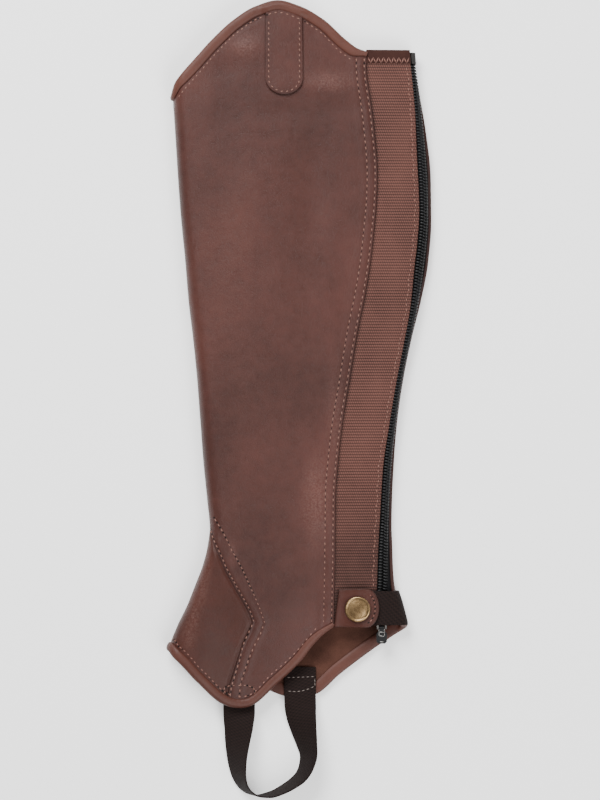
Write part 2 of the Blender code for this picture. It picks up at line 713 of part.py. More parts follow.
def make_slider(metal):
    """Slider body, wider at its mouth, with two lugs for the pull."""
    levels = np.array([SLIDER_TOP_Y, SLIDER_TOP_Y - 3.0, SLIDER_BOTTOM_Y + 3.5, SLIDER_BOTTOM_Y])
    widths = np.array([SLIDER_WIDTH - 1.6, SLIDER_WIDTH, SLIDER_TAIL_WIDTH, SLIDER_TAIL_WIDTH - 0.8])
    low, high = TAPE_LEVEL + SEAM_GAP, SLIDER_TOP_LEVEL
    shape = np.array([(-0.5, low), (0.5, low), (0.5, high - 0.9), (0.38, high), (-0.38, high), (-0.5, high - 0.9)])
    x = slider_middle(levels)[:, None] + widths[:, None] * shape[:, 0]
    body = loft("zip_slider", outer_side(x, levels[:, None], shape[:, 1]), metal)
    middle = slider_middle(SLIDER_BOTTOM_Y)
    inner_gap = BARREL_LENGTH / 2 + SEAM_GAP
    for side in (-1, 1):
        sides = np.array([inner_gap, inner_gap + LUG_WIDTH])
        corner_y = np.array([SLIDER_BOTTOM_Y + 1.0, SLIDER_BOTTOM_Y - LUG_LENGTH])
        low, high = -1.3, SLIDER_TOP_LEVEL - 0.1
        corner_x = np.full(4, middle)
        rings = [outer_side(corner_x + side * s, corner_y[[0, 1, 1, 0]], np.array([low, low, high, high]))
                 for s in sides]
        lug = loft(f"lug_{side}", rings, metal)
        join = body.modifiers.new("lug", "BOOLEAN")
        join.operation = "UNION"
        join.object = lug
        lug.hide_render = True
        lug.display_type = "WIRE"


def make_pull(finish):
    """Pull tab with a barrel between the lugs; its origin is on the hinge line."""
    pivot_y = SLIDER_BOTTOM_Y - PIVOT_DROP
    pivot = outer_side(slider_middle(SLIDER_BOTTOM_Y), pivot_y, -0.1)
    around = np.linspace(0, 2 * math.pi, 13)[:-1]
    ring = np.stack([np.zeros(12), np.cos(around), np.sin(around)], -1) * BARREL_RADIUS
    barrel = [ring + (x, 0, 0) for x in (-BARREL_LENGTH / 2, BARREL_LENGTH / 2)]
    body = loft("zip_pull", barrel, finish)
    rows = [(-0.6, 1.5), (-2.0, 1.5), (-3.4, PULL_WIDTH / 2 - 0.6), (-4.4, PULL_WIDTH / 2),
            (-PULL_LENGTH + 1.2, PULL_WIDTH / 2), (-PULL_LENGTH, PULL_WIDTH / 2 - 1.2)]
    half = PULL_THICK / 2
    rings = [[(-w, y, -half), (w, y, -half), (w, y, half), (-w, y, half)] for y, w in rows]
    blade = loft("pull_blade", rings, finish)
    join = body.modifiers.new("blade", "BOOLEAN")
    join.operation = "UNION"
    join.object = blade
    blade.hide_render = True
    blade.display_type = "WIRE"
    for part in (body, blade):
        part.location = pivot * MM


# Closing strap

def make_closure(tab_finish, band_finish, brass):
    """Leather tab with a round end, the elastic that comes round the back to it, and the snap."""
    half = (TAB_TOP_Y - TAB_BOTTOM_Y) / 2
    middle_y = (TAB_TOP_Y + TAB_BOTTOM_Y) / 2
    turn = np.linspace(-1, 1, 11)
    heights = middle_y + half * np.sin(turn * math.pi / 2)
    left = np.interp(heights, [TAB_BOTTOM_Y, TAB_TOP_Y], [TAB_LEFT_BOTTOM, TAB_LEFT_TOP]) + 0.4
    right = TAB_TIP - half * 0.62 * (1 - np.cos(turn * math.pi / 2))
    columns = np.linspace(0, 1, 8)
    x = left[:, None] + columns * (right - left)[:, None]
    y = np.broadcast_to(heights[:, None], x.shape)
    rise = ease((x - TAB_LEFT_TOP) / (BAND_START - 2 - TAB_LEFT_TOP))
    lift = TAB_LIFT_LEFT + (TAB_LIFT_RIGHT - TAB_LIFT_LEFT) * rise
    patch("closure_tab", girth_at(x, y), y, lift + LEATHER, LEATHER, tab_finish)

    y = np.broadcast_to(np.linspace(BAND_BOTTOM_Y, BAND_TOP_Y, 4)[:, None], (4, 15))
    start = girth_at(BAND_START, y)
    back = QUARTER + flat_run(y) + BACK_RADIUS * (math.pi / 2 + BAND_END_ANGLE)
    q = start + np.linspace(0, 1, 15) * (back - start)
    patch("closure_elastic", q, y, BAND_LIFT + BAND, BAND, band_finish)

    x, y = SNAP_CENTRE
    at = girth_at(x, y)
    share = float(ease((x - TAB_LEFT_TOP) / (BAND_START - 2 - TAB_LEFT_TOP)))
    tab_low = TAB_LIFT_LEFT + (TAB_LIFT_RIGHT - TAB_LIFT_LEFT) * share
    face = skin(at, y, tab_low + LEATHER)
    under = skin(at, y, tab_low)
    tilt = skin(at, y, 1.0) - skin(at, y, 0.0)
    turned("snap_cap", face, slope_normal(at, y), [(0.0, 0.45), (SNAP_RADIUS - 0.8, 0.45), (SNAP_RADIUS, 0.9),
           (SNAP_RADIUS, 1.4), (SNAP_RADIUS - 0.9, SNAP_THICK - 0.1), (SNAP_RADIUS - 1.8, SNAP_THICK - 0.4),
           (SNAP_RADIUS - 3.0, SNAP_THICK), (0.0, SNAP_THICK + 0.5)], brass)
    gap = tab_low + EDGE_STEP
    turned("snap_socket", under, tilt, [(0.0, -gap + 0.35), (SOCKET_RADIUS, -gap + 0.35),
           (SOCKET_RADIUS, -1.4), (0.0, -1.4)], brass)


def slope_normal(q, y):
    """Direction square to the leather tab where the snap sits: the tab climbs towards the zip."""
    def top(x):
        rise = ease((x - TAB_LEFT_TOP) / (BAND_START - 2 - TAB_LEFT_TOP))
        lift = TAB_LIFT_LEFT + (TAB_LIFT_RIGHT - TAB_LIFT_LEFT) * rise
        return skin(girth_at(x, y), y, lift + LEATHER)

    x = SNAP_CENTRE[0]
    run = top(x + SNAP_RADIUS) - top(x - SNAP_RADIUS)
    square = np.array([-run[2], 0.0, run[0]])
    return square / np.linalg.norm(square)


def turned(name, base, axis, profile, finish):
    """A solid turned about an axis that starts at base, from a profile of (radius, height)."""
    axis = np.asarray(axis) / np.linalg.norm(axis)
    side = np.cross([0.0, 1.0, 0.0], axis)
    side /= np.linalg.norm(side)
    other = np.cross(axis, side)
    around = np.linspace(0, 2 * math.pi, 29)[:-1]
    points, faces, rings = [], [], []
    for radius, height in profile:
        if radius == 0:
            rings.append([len(points)] * len(around))
            points.append(base + axis * height)
            continue
        rings.append(list(range(len(points), len(points) + len(around))))
        for angle in around:
            points.append(base + axis * height + radius * (math.cos(angle) * side + math.sin(angle) * other))
    closed = [ring + ring[:1] for ring in rings]
    faces = grid_faces(closed)
    add_object(name, np.array(points), faces, finish)


def make_top_tab(finish):
    """Pull tab sewn flat on the outer side, from under the top binding to its round end."""
    half = (TOP_TAB_RIGHT - TOP_TAB_LEFT) / 2
    middle = (TOP_TAB_RIGHT + TOP_TAB_LEFT) / 2
    turn = np.linspace(-math.pi / 2, math.pi / 2, 11)
    across = middle + half * np.sin(turn)
    bottom = TOP_TAB_BOTTOM_Y + half * 0.85 * (1 - np.cos(turn))
    below_binding = set_back(rim, -1, BINDING_PAST + RIM_OUTER_LEG + TOP_TAB_CLEAR)
    top = np.minimum(below_binding(girth_at(across, 240.0)), TOP_TAB_HIGHEST_Y)
    rows = np.linspace(0, 1, 9)[:, None]
    heights = bottom + rows * (top - bottom)
    x = np.broadcast_to(across, heights.shape)
    patch("top_tab", girth_at(x, heights), heights, SEAM_GAP + TOP_TAB_THICK, TOP_TAB_THICK, finish)


def make_strap(finish):
    """Elastic webbing: a flat ribbon through the route's rows, turned half round on its way under the sole."""
    rows = np.array(STRAP, float)
    distance = np.concatenate([[0], np.cumsum(np.linalg.norm(np.diff(rows[:, :3], axis=0), axis=1))])
    steps = np.linspace(0, distance[-1], 56)
    route = np.stack([smooth_through(list(zip(distance, rows[:, i])))(steps) for i in range(4)], -1)
    middle, turn = route[:, :3], np.radians(route[:, 3])
    run = np.gradient(middle, axis=0)
    run /= np.linalg.norm(run, axis=1)[:, None]
    level = np.cross(run, [0.0, 0.0, 1.0])
    level /= np.linalg.norm(level, axis=1)[:, None]
    upward = np.cross(level, run)
    width = np.cos(turn)[:, None] * level - np.sin(turn)[:, None] * upward
    face = np.cross(width, run)
    corners = [(-1, -1), (0, -1), (1, -1), (1, 1), (0, 1), (-1, 1)]
    rings = [middle + a * STRAP_WIDTH / 2 * width + b * WEBBING / 2 * face for a, b in corners]
    loft("stirrup_strap", np.stack(rings, 1), finish)


def clear_scene():
    for old in list(bpy.data.objects):
        bpy.data.objects.remove(old, do_unlink=True)


def centre_all():
    """Moves every piece so that the footprint's middle is the origin; a placed piece keeps its own origin."""
    move = Vector(CENTRE_SHIFT) * MM
    for piece in bpy.data.objects:
        if piece.location.length > 0:
            piece.location += move
        else:
            piece.data.transform(Matrix.Translation(move))


def build():
    clear_scene()
    leather = material("brown leather", (0.155, 0.07, 0.052), 0.5)
    instep = material("instep leather", (0.135, 0.055, 0.04), 0.5)
    trim = material("binding leather", (0.21, 0.09, 0.062), 0.5)
    ribbed = material("ribbed elastic", (0.24, 0.115, 0.085), 0.85)
    dark_web = material("dark webbing", (0.026, 0.014, 0.011), 0.85)
    tape_black = material("zip tape", (0.012, 0.012, 0.013), 0.85)
    coil_black = material("zip coil", (0.015, 0.015, 0.017), 0.4)
    grey_metal = material("grey metal", (0.23, 0.23, 0.23), 0.4, 1.0)
    brass = material("aged brass", (0.47, 0.33, 0.17), 0.35, 1.0)

    outer_half = leg_half(outer_columns, seam_foot(1))
    inner_half = leg_half(inner_columns, seam_foot(-1))
    instep_places = instep_grid()
    make_leg_panel(outer_half, inner_half, leather)
    patch("instep_panel", *instep_places, 0.0, LEATHER, instep)
    make_gusset(ribbed, trim)
    make_bindings(outer_half, inner_half, instep_places, trim)
    make_top_tab(leather)
    make_zip(tape_black, coil_black, grey_metal)
    make_slider(grey_metal)
    make_pull(coil_black)
    make_closure(leather, dark_web, brass)
    make_strap(dark_web)
    centre_all()


build()
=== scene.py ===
# %% [markdown]
# # Looks of a leather gaiter, laid flat
# The gaiter is a soft leather tube for a rider's lower leg. Here it is pressed flat on a table, outer side
# up. The solids come packed as a fixed frame. This script gives each cloth piece a finer surface with
# rolled edges, ribs, stitches and zip teeth, and keeps the hard pieces that are already right. All lengths
# are in millimetres until a mesh is made.

# %% Load the frame
import math

import bpy
import numpy as np
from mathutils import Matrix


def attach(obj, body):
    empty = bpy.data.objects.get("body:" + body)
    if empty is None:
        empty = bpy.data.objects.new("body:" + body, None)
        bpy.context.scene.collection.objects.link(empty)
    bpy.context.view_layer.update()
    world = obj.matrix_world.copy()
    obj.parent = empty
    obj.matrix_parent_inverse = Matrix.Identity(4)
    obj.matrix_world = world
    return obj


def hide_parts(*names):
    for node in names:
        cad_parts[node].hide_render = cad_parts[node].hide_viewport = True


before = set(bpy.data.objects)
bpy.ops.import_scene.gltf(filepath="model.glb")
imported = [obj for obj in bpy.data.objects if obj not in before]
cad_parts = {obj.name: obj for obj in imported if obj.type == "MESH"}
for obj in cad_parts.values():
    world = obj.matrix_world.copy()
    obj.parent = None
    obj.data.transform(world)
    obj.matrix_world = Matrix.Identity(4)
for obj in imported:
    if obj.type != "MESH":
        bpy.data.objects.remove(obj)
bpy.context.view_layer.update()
MM = 0.001
CENTRE_SHIFT = np.array([1.23, -0.3, 0.0])
rng = np.random.default_rng(7)

# %% [markdown]
# ## The outline
# A flat garment is easiest to describe by its outline. Short tables hold where each fold, seam and finished
# edge runs, and a curve that never swings past its rows joins them. The same tables shape the solids.

# %% Tables of folds, seams and edges
LEATHER, ELASTIC, TAPE, BINDING, WEBBING = 1.8, 1.3, 1.0, 1.0, 1.2
BINDING_GAP = 0.5
BINDING_PAST = BINDING_GAP + BINDING
SHIN_RADIUS, BACK_RADIUS, CROWN = 9.0, 6.0, 2.0
QUARTER, HALF_TURN = SHIN_RADIUS * math.pi / 2, BACK_RADIUS * math.pi
HEM_SAG, HEM_SAG_FROM, HEM_SAG_OVER, HEM_SAG_ACROSS = 6.0, -118.0, 76.0, 45.0
EDGE_LIFT, EDGE_LIFT_FLAT, EDGE_LIFT_FADE = BINDING + BINDING_GAP, 12.0, 40.0
CHAIN_START, CHAIN_END, ZIP_OPEN, TAPE_UNDERLAP, TAPE_LEVEL = 0.5, 6.7, 10.0, 7.0, -2.2
LEATHER_OPEN = 11.6
RIM_LEG, HEM_OUTER_LEG, HEM_INNER_LEG = 5.0, 4.2, 6.0
APEX_Y, TONGUE_CORNER_Y = -80.0, -139.9
GUSSET_TOP_Y, GUSSET_HEM, GUSSET_BOTTOM_Y = 220.6, 8.6, -139.5
RIB_PITCH, RIB_HEIGHT, GUSSET_LEVEL, THREAD_PITCH = 1.78, 0.34, -0.55, 1.35

# Height, shin side, back side
LEG = [
    (252.0, -81.5, 70.6), (214.2, -81.0, 73.6), (193.4, -80.3, 76.6), (170.1, -78.9, 79.8),
    (138.6, -76.9, 82.7), (113.4, -75.0, 83.0), (88.2, -72.5, 81.2), (63.0, -70.4, 76.9),
    (37.8, -67.4, 71.3), (12.6, -64.9, 66.3), (-12.6, -63.0, 62.4), (-37.8, -61.1, 59.8),
    (-63.0, -58.6, 58.4), (-80.0, -57.0, 58.0), (-91.4, -58.3, 58.3), (-104.0, -61.4, 58.7),
    (-116.6, -66.2, 59.7), (-129.2, -71.2, 63.3), (-143.0, -77.8, 66.5), (-156.2, -82.8, 66.8),
    (-195.3, -88.0, 66.8),
]
# Height, place across
GUSSET_SEAM = [
    (219.2, 42.2), (210.4, 42.0), (185.9, 45.0), (170.1, 46.9), (141.8, 48.9), (125.4, 48.4), (108.4, 46.9),
    (88.2, 44.7), (68.7, 41.6), (43.5, 36.5), (9.5, 30.9), (-12.6, 27.1), (-37.8, 24.2), (-60.5, 22.5),
    (-100.8, 22.2), (-139.9, 21.4),
]
ZIP_EDGE = [
    (219.2, 69.3), (178.9, 72.6), (153.1, 73.7), (131.0, 74.8), (119.7, 75.1), (97.0, 73.7), (88.2, 72.6),
    (59.9, 69.7), (34.7, 65.3), (9.5, 60.5), (-15.1, 56.3), (-43.5, 52.3), (-69.3, 50.7), (-100.8, 49.0),
    (-120.3, 48.4), (-139.9, 47.9),
]
TONGUE = [
    (-80.0, -57.0), (-82.6, -56.65), (-85.5, -55.6), (-95.0, -52.4), (-107.0, -47.2), (-120.5, -39.7),
    (-133.0, -32.6), (-139.9, -29.9), (-148.0, -32.8), (-167.0, -40.3), (-180.8, -44.7), (-192.8, -46.0),
]
# Place across, height
RIM_OUTER = [
    (-80.3, 192.8), (-77.5, 201.6), (-66.8, 214.2), (-55.4, 226.8), (-41.6, 239.4), (-28.4, 247.6),
    (-13.9, 251.6), (0.0, 247.9), (15.1, 239.4), (29.0, 226.8), (36.5, 221.4), (42.2, 219.4),
]
RIM_INNER = [
    (-80.3, 192.8), (-77.0, 197.0), (-60.0, 207.0), (-40.0, 213.5), (-10.0, 217.0), (30.0, 217.5),
    (65.0, 217.5), (90.0, 217.5),
]
HEM_OUTER = [
    (-83.0, -158.1), (-78.1, -163.8), (-64.6, -177.7), (-48.8, -191.5), (-42.8, -193.7), (-37.8, -194.2),
    (-32.8, -193.5), (-28.4, -191.5), (-15.8, -180.2), (0.0, -165.1), (15.8, -146.8), (22.7, -141.8),
]
HEM_INNER = [
    (-83.0, -158.1), (-78.0, -161.9), (-63.0, -171.4), (-41.0, -178.9), (-24.0, -182.0), (-9.5, -187.1),
    (0.0, -188.0), (10.1, -185.9), (25.2, -173.3), (54.2, -151.8), (60.8, -147.5), (70.2, -143.2),
    (79.7, -141.2), (88.0, -140.6),
]
# Soft swells and hollows of the outer side: place across, height, half width, half length, rise
SOFT_FORMS = [
    (9.0, 128.0, 12.0, 44.0, -1.5), (-32.0, 95.0, 20.0, 70.0, 1.1), (-58.0, 150.0, 8.0, 60.0, 0.5),
    (-14.0, 58.0, 12.0, 30.0, 0.9), (22.0, -12.0, 7.0, 44.0, 1.1), (-4.0, -20.0, 12.0, 40.0, -0.9),
    (-36.0, -30.0, 10.0, 50.0, -0.5), (9.0, -62.0, 7.0, 24.0, 1.1), (-20.0, -62.0, 14.0, 5.0, -0.3),
    (6.0, -76.0, 22.0, 5.0, 0.35), (-2.0, -92.0, 26.0, 8.0, -0.4), (14.0, -110.0, 8.0, 18.0, -0.5),
    (-8.0, -124.0, 16.0, 14.0, 0.7), (-46.0, -152.0, 10.0, 18.0, -0.6), (-62.0, -135.0, 6.0, 22.0, 0.5),
    (-33.0, 222.0, 10.0, 6.0, 0.8), (-45.0, 208.0, 12.0, 7.0, -0.5), (16.0, 198.0, 16.0, 6.0, 0.8),
    (26.0, 184.0, 12.0, 6.0, -0.5), (-12.0, 182.0, 18.0, 7.0, -0.6), (28.0, 60.0, 7.0, 60.0, -0.5),
    (-44.0, 20.0, 8.0, 60.0, 0.4),
]
# Painted highlights (positive share) and painted shade (negative share) in the leather's colour: place
# across, height, half width, half length, share
SHEEN_AND_SHADE_BELLS = [
    (9.0, 125.0, 14.0, 60.0, -0.2), (-45.0, 60.0, 22.0, 90.0, 0.15), (10.0, -62.0, 8.0, 26.0, 0.8),
    (23.0, -8.0, 6.0, 30.0, 0.45), (2.0, 0.0, 10.0, 40.0, -0.25), (-34.0, 223.0, 9.0, 7.0, 0.75),
    (19.0, 200.0, 13.0, 6.0, 0.75), (-76.0, 60.0, 3.0, 140.0, -0.4), (-50.0, -60.0, 8.0, 60.0, -0.3),
    (-42.5, -96.0, 2.5, 8.0, 0.5), (-8.0, -128.0, 22.0, 22.0, -0.4), (-57.5, -100.0, 2.5, 12.0, 0.5),
    (-61.5, -117.0, 3.0, 12.0, 0.55), (-66.5, -134.0, 3.0, 12.0, 0.55), (-70.0, -148.0, 4.0, 9.0, 0.5),
]
# Where the leather is creased by wear: place across, height, half width, half length, share
CREASED = [
    (24.0, -32.0, 11.0, 30.0, 1.0), (16.0, -110.0, 10.0, 24.0, 0.8), (-32.0, 224.0, 12.0, 12.0, 0.9),
    (20.0, 196.0, 20.0, 10.0, 0.9), (-6.0, -68.0, 34.0, 16.0, 0.45), (-10.0, 230.0, 11.0, 14.0, 0.7),
    (-50.0, -150.0, 24.0, 26.0, 0.3),
]

# %% Curves through the tables


def smooth_through(rows):
    """A curve through (input, output) rows: each cubic takes the harmonic mean of its neighbours' slopes, or
    a level slope at a turn, so it never swings past a row. It goes on straight beyond the last row."""
    table = np.array(sorted(rows), float)
    xs, ys = table[:, 0], table[:, 1]
    step, rise = np.diff(xs), np.diff(ys) / np.diff(xs)
    slope = np.zeros_like(ys)
    slope[0], slope[-1] = rise[0], rise[-1]
    before, after = 2 * step[1:] + step[:-1], step[1:] + 2 * step[:-1]
    with np.errstate(divide="ignore", invalid="ignore"):
        mean = (before + after) / (before / rise[:-1] + after / rise[1:])
    slope[1:-1] = np.where(rise[:-1] * rise[1:] > 0, mean, 0.0)

    def curve(x):
        x = np.asarray(x, float)
        i = np.clip(np.searchsorted(xs, x) - 1, 0, len(step) - 1)
        t = (x - xs[i]) / step[i]
        inside = np.clip(t, 0, 1)
        a, b = inside * inside * (3 - 2 * inside), inside * (1 - inside)
        value = ys[i] * (1 - a) + ys[i + 1] * a
        value += step[i] * b * (slope[i] * (1 - inside) - slope[i + 1] * inside)
        return value + np.where(t > 1, slope[i + 1], slope[i]) * (t - inside) * step[i]

    return curve


def ease(t):
    """3t^2 - 2t^3 with t held between 0 and 1: a step with soft ends."""
    t = np.clip(t, 0, 1)
    return t * t * (3 - 2 * t)


shin_side = smooth_through([(y, left) for y, left, right in LEG])
back_side = smooth_through([(y, right) for y, left, right in LEG])
gusset_seam_x, zip_edge_x = smooth_through(GUSSET_SEAM), smooth_through(ZIP_EDGE)


def flat_run(y):
    """Width between the two folds: back side minus its radius, minus shin side plus its radius."""
    return back_side(y) - BACK_RADIUS - shin_side(y) - SHIN_RADIUS


def whole_girth(y):
    """Once round the leg: two quarter turns, two flats and the half turn at the back."""
    return 2 * QUARTER + 2 * flat_run(y) + HALF_TURN


def girth_at(x, y):
    """Girth from the shin fold to the place seen at x: an arc, then the flat, then an arc again."""
    from_shin = np.clip(1 - (x - shin_side(y)) / SHIN_RADIUS, 0, 1)
    into_back = np.clip((x - back_side(y) + BACK_RADIUS) / BACK_RADIUS, 0, 1)
    along = np.clip(x - shin_side(y) - SHIN_RADIUS, 0, flat_run(y))
    return SHIN_RADIUS * np.arccos(from_shin) + along + BACK_RADIUS * np.arcsin(into_back)


def unrolled_girth(x, y):
    """Girth on the inner side, where x past the back fold is measured along the cloth."""
    past_flat = np.maximum(x - back_side(y) + BACK_RADIUS, 0)
    return girth_at(np.minimum(x, back_side(y) - BACK_RADIUS), y) + past_flat


def gusset_seam_girth(y):
    """Girth of the seam between leather and elastic."""
    return girth_at(gusset_seam_x(y), y)


def zip_girth(y):
    """Girth of the elastic's edge beside the zip."""
    return girth_at(zip_edge_x(y), y)


def tongue_girth(y):
    """Girth of the instep seam, straight between its rows, and 0 above its apex."""
    heights, places = np.array(TONGUE[::-1], float).T
    girths = girth_at(places, heights)
    girths[-1] = 0.0
    return np.interp(y, heights, girths)


def back_edge_girth(y):
    """Girth, over the inner side, to the leather's edge beyond the zip."""
    return whole_girth(y) - zip_girth(y) - LEATHER_OPEN


def finished_edge(outer, inner):
    """Height of a finished edge as a function of girth, from its outer and inner tables."""
    rows = [(float(girth_at(x, y)), y) for x, y in outer]
    rows += [(-float(unrolled_girth(x, y)), y) for x, y in inner[1:]]
    return smooth_through(rows)


rim, hem = finished_edge(RIM_OUTER, RIM_INNER), finished_edge(HEM_OUTER, HEM_INNER)


def set_back(edge, way, distance=BINDING_PAST):
    """A line inside a finished edge: its height moved by distance times the root of 1 + slope squared."""

    def inner(q):
        slope = edge(q + 0.5) - edge(q - 0.5)
        return edge(q) + way * distance * np.sqrt(1 + slope * slope)

    return inner


panel_top, panel_bottom = set_back(rim, -1), set_back(hem, 1)
for part, level in (("calf", 120.0), ("ankle", -80.0)):
    print("girth at the", part, round(float(whole_girth(level))), "mm")

# %% [markdown]
# ## The skin
# Every piece is a patch of one skin. A place on it is a girth q round the leg and a height y. The skin
# function turns that into a point, and moves it out square to the skin, so that a layer, a stitch or a rib
# is only another amount out. Leather is never quite flat, so a few soft swells and hollows are added to
# that amount.

# %% Skin of the flattened leg


def upper_height(x, y):
    """Height of the outer side: a slope from thick shin to thin back, a crown, and a sag at the foot."""
    left, width = shin_side(y) + SHIN_RADIUS, flat_run(y)
    across = np.clip((x - left) / width, 0, 1)
    sag = HEM_SAG * ease((HEM_SAG_FROM - y) / HEM_SAG_OVER) * ease((x - left) / HEM_SAG_ACROSS)
    sag = sag * ease((back_side(y) - BACK_RADIUS - x) / HEM_SAG_ACROSS)
    return 2 * SHIN_RADIUS + 2 * (BACK_RADIUS - SHIN_RADIUS) * across + CROWN * np.sin(math.pi * across) - sag


def lower_height(q, y):
    """The inner side lies on the table and rises by the binding's thickness near its bound edges."""
    q = np.where(q > 0, q - whole_girth(y), q)
    nearest = np.minimum(rim(q) - y, y - hem(q))
    return EDGE_LIFT * (1 - ease((nearest - EDGE_LIFT_FLAT) / EDGE_LIFT_FADE))


def skin_line(q, y):
    """(x, z): a quarter turn round the shin, the flat, a half turn round the back, and the other face."""
    side, s = np.where(q >= 0, 1.0, -1.0), np.abs(q)
    turn = np.clip(s, 0, QUARTER) / SHIN_RADIUS
    along = np.clip(s - QUARTER, 0, flat_run(y))
    bend = np.clip(s - QUARTER - flat_run(y), 0, HALF_TURN) / BACK_RADIUS
    beyond = np.maximum(s - QUARTER - flat_run(y) - HALF_TURN, 0)
    x = shin_side(y) + SHIN_RADIUS * (1 - np.cos(turn)) + along + BACK_RADIUS * np.sin(bend) - beyond
    up, lift, upper = side > 0, lower_height(q, y), upper_height(x, y)
    shin = SHIN_RADIUS + side * SHIN_RADIUS * np.sin(turn)
    back = BACK_RADIUS + side * BACK_RADIUS * np.cos(bend)
    z = np.where(s <= QUARTER, shin + np.where(up, 0, lift * np.sin(turn)), np.where(up, upper, lift))
    z = np.where(bend > 0, back + lift * np.where(up, np.sin(bend / 2) ** 2, np.cos(bend / 2) ** 2), z)
    return x, np.where(beyond > 0, np.where(up, lift, upper), z)


SKIN_STEP, LOWEST, WAVE_RISE = 0.4, 0.02, 0.18


def bells(x, y, table):
    """Sum over a table's rows of share * exp(-(dx/width)^2 - (dy/length)^2)."""
    return sum(share * np.exp(-(((x - at_x) / wide) ** 2) - ((y - at_y) / long) ** 2)
               for at_x, at_y, wide, long, share in table)


def relief(x, q, y):
    """Soft forms of the outer side: its bells, and two faint sets of crossing waves, each sine times sine."""
    waves = np.sin(0.083 * x + 0.031 * y) * np.sin(0.047 * y - 0.02 * x + 1.0)
    waves = waves + 0.5 * np.sin(0.16 * x - 0.05 * y + 2.0) * np.sin(0.11 * y + 0.4)
    rise = bells(x, y, SOFT_FORMS) + WAVE_RISE * waves
    return np.where(q > 0, rise * ease(np.abs(q) / QUARTER), 0.0)


def place(q, y, out=0.0):
    """Points in metres at girth q and height y, moved out square to the line from one skin step before the
    place to one skin step after it, and never below the table."""
    q, y, out = np.broadcast_arrays(np.asarray(q, float), np.asarray(y, float), np.asarray(out, float))
    x, z = skin_line(q, y)
    x1, z1 = skin_line(q - SKIN_STEP, y)
    x2, z2 = skin_line(q + SKIN_STEP, y)
    length = np.hypot(x2 - x1, z2 - z1)
    out = out + relief(x, q, y)
    points = np.stack([x - out * (z2 - z1) / length, y, z + out * (x2 - x1) / length], -1)
    points[..., 2] = np.maximum(points[..., 2], LOWEST)
    return (points + CENTRE_SHIFT) * MM


# %% [markdown]
# ## Meshes from grids
# A wall is a grid of points on its outer face, the same grid on its inner face, and a strip that joins
# their borders. The strip's edges are the ones that only one face of the grid uses, found by comparing edge
# numbers.

# %% Mesh helpers
SHARP_FROM = math.radians(50)


def unit(vectors):
    """The same directions with a length of 1."""
    return vectors / np.linalg.norm(vectors, axis=-1, keepdims=True)


def walk(path):
    """Distance walked to each point of a path, from 0 at its first."""
    return np.concatenate([[0], np.cumsum(np.linalg.norm(np.diff(path, axis=0), axis=1))])


def add_piece(name, points, faces, finishes, which=None, uv=None, marks=None):
    """Makes an object at the origin from points in metres and faces, each a row of point numbers."""
    mesh = bpy.data.meshes.new(name)
    if isinstance(faces, np.ndarray):
        faces = faces.tolist()
    mesh.from_pydata(points.reshape(-1, 3).tolist(), [], faces)
    for finish in finishes:
        mesh.materials.append(finish)
    if which is not None:
        mesh.polygons.foreach_set("material_index", np.asarray(which, np.int32))
    if uv is not None:
        corners = np.empty(len(mesh.loops), np.int32)
        mesh.loops.foreach_get("vertex_index", corners)
        layer = mesh.uv_layers.new(name="cloth")
        layer.data.foreach_set("uv", uv.reshape(-1, 2)[corners].astype(np.float32).ravel())
    for title, values in (marks or {}).items():
        attribute = mesh.attributes.new(title, "FLOAT", "POINT")
        attribute.data.foreach_set("value", values.astype(np.float32).ravel())
    mesh.shade_smooth()
    mesh.set_sharp_from_angle(angle=SHARP_FROM)
    piece = bpy.data.objects.new(name, mesh)
    bpy.context.scene.collection.objects.link(piece)
    return piece


def grid_quads(index):
    """Faces between the rows and columns of a grid of point numbers."""
    return np.stack([index[:-1, :-1], index[:-1, 1:], index[1:, 1:], index[1:, :-1]], -1).reshape(-1, 4)


def ring_index(rings, around):
    """Point numbers of rings, with the first column once more at the end, so that a grid closes on itself."""
    index = np.arange(rings * around).reshape(rings, around)
    return np.concatenate([index, index[:, :1]], 1)


def tube_faces(rings, around):
    """A closed tube: quads between its rings, and one many-sided face at each end."""
    index = ring_index(rings, around)
    return grid_quads(index).tolist() + [index[0, :-1][::-1].tolist(), index[-1, :-1].tolist()]


def rim_quads(quads, count):
    """Faces that join the borders of two equal grids: border edges are those with no opposite edge."""
    edges = np.concatenate([quads[:, [i, (i + 1) % 4]] for i in range(4)]).astype(np.int64)
    edges = edges[edges[:, 0] != edges[:, 1]]
    there, back = edges[:, 0] * count + edges[:, 1], edges[:, 1] * count + edges[:, 0]
    border = edges[~np.isin(there, back)]
    return np.stack([border[:, 1], border[:, 0], border[:, 0] + count, border[:, 1] + count], -1)


def add_wall(name, outer, inner, quads, finishes, uv=None, marks=None):
    """A closed wall. finishes has one finish, or one for the outside and edges and one for the inside."""
    count = len(outer)
    sides = rim_quads(quads, count)
    faces = np.concatenate([quads, quads[:, ::-1] + count, sides])
    which = np.zeros(len(faces), int)
    which[len(quads):2 * len(quads)] = len(finishes) - 1
    doubled = {title: np.concatenate([v.ravel(), v.ravel()]) for title, v in (marks or {}).items()}
    uv = None if uv is None else np.concatenate([uv.reshape(-1, 2)] * 2)
    return add_piece(name, np.concatenate([outer, inner]), faces, finishes, which, uv, doubled)


def rolled(distance, radius):
    """How far a rounded edge has dropped at a distance from it: a quarter circle of that radius."""
    inside = np.clip(distance, 0, radius)
    return radius - np.sqrt(np.maximum(radius * radius - (radius - inside) ** 2, 0))


def across_from(start, end, share, levels):
    """(girths, heights) of a grid: each level's columns lie at shares of the way from start to end."""
    q = start + share * (end - start)
    return q, np.broadcast_to(levels, q.shape)


def spread(count, length, edge=0.8):
    """Shares from 0 to 1: evenly spaced, with three more close to each end for a rolled edge."""
    near = edge / length * np.array([0.0, 0.12, 0.42, 1.0])
    middle = np.linspace(near[-1], 1 - near[-1], count + 1)[1:-1]
    return np.concatenate([near, middle, 1 - near[::-1]])


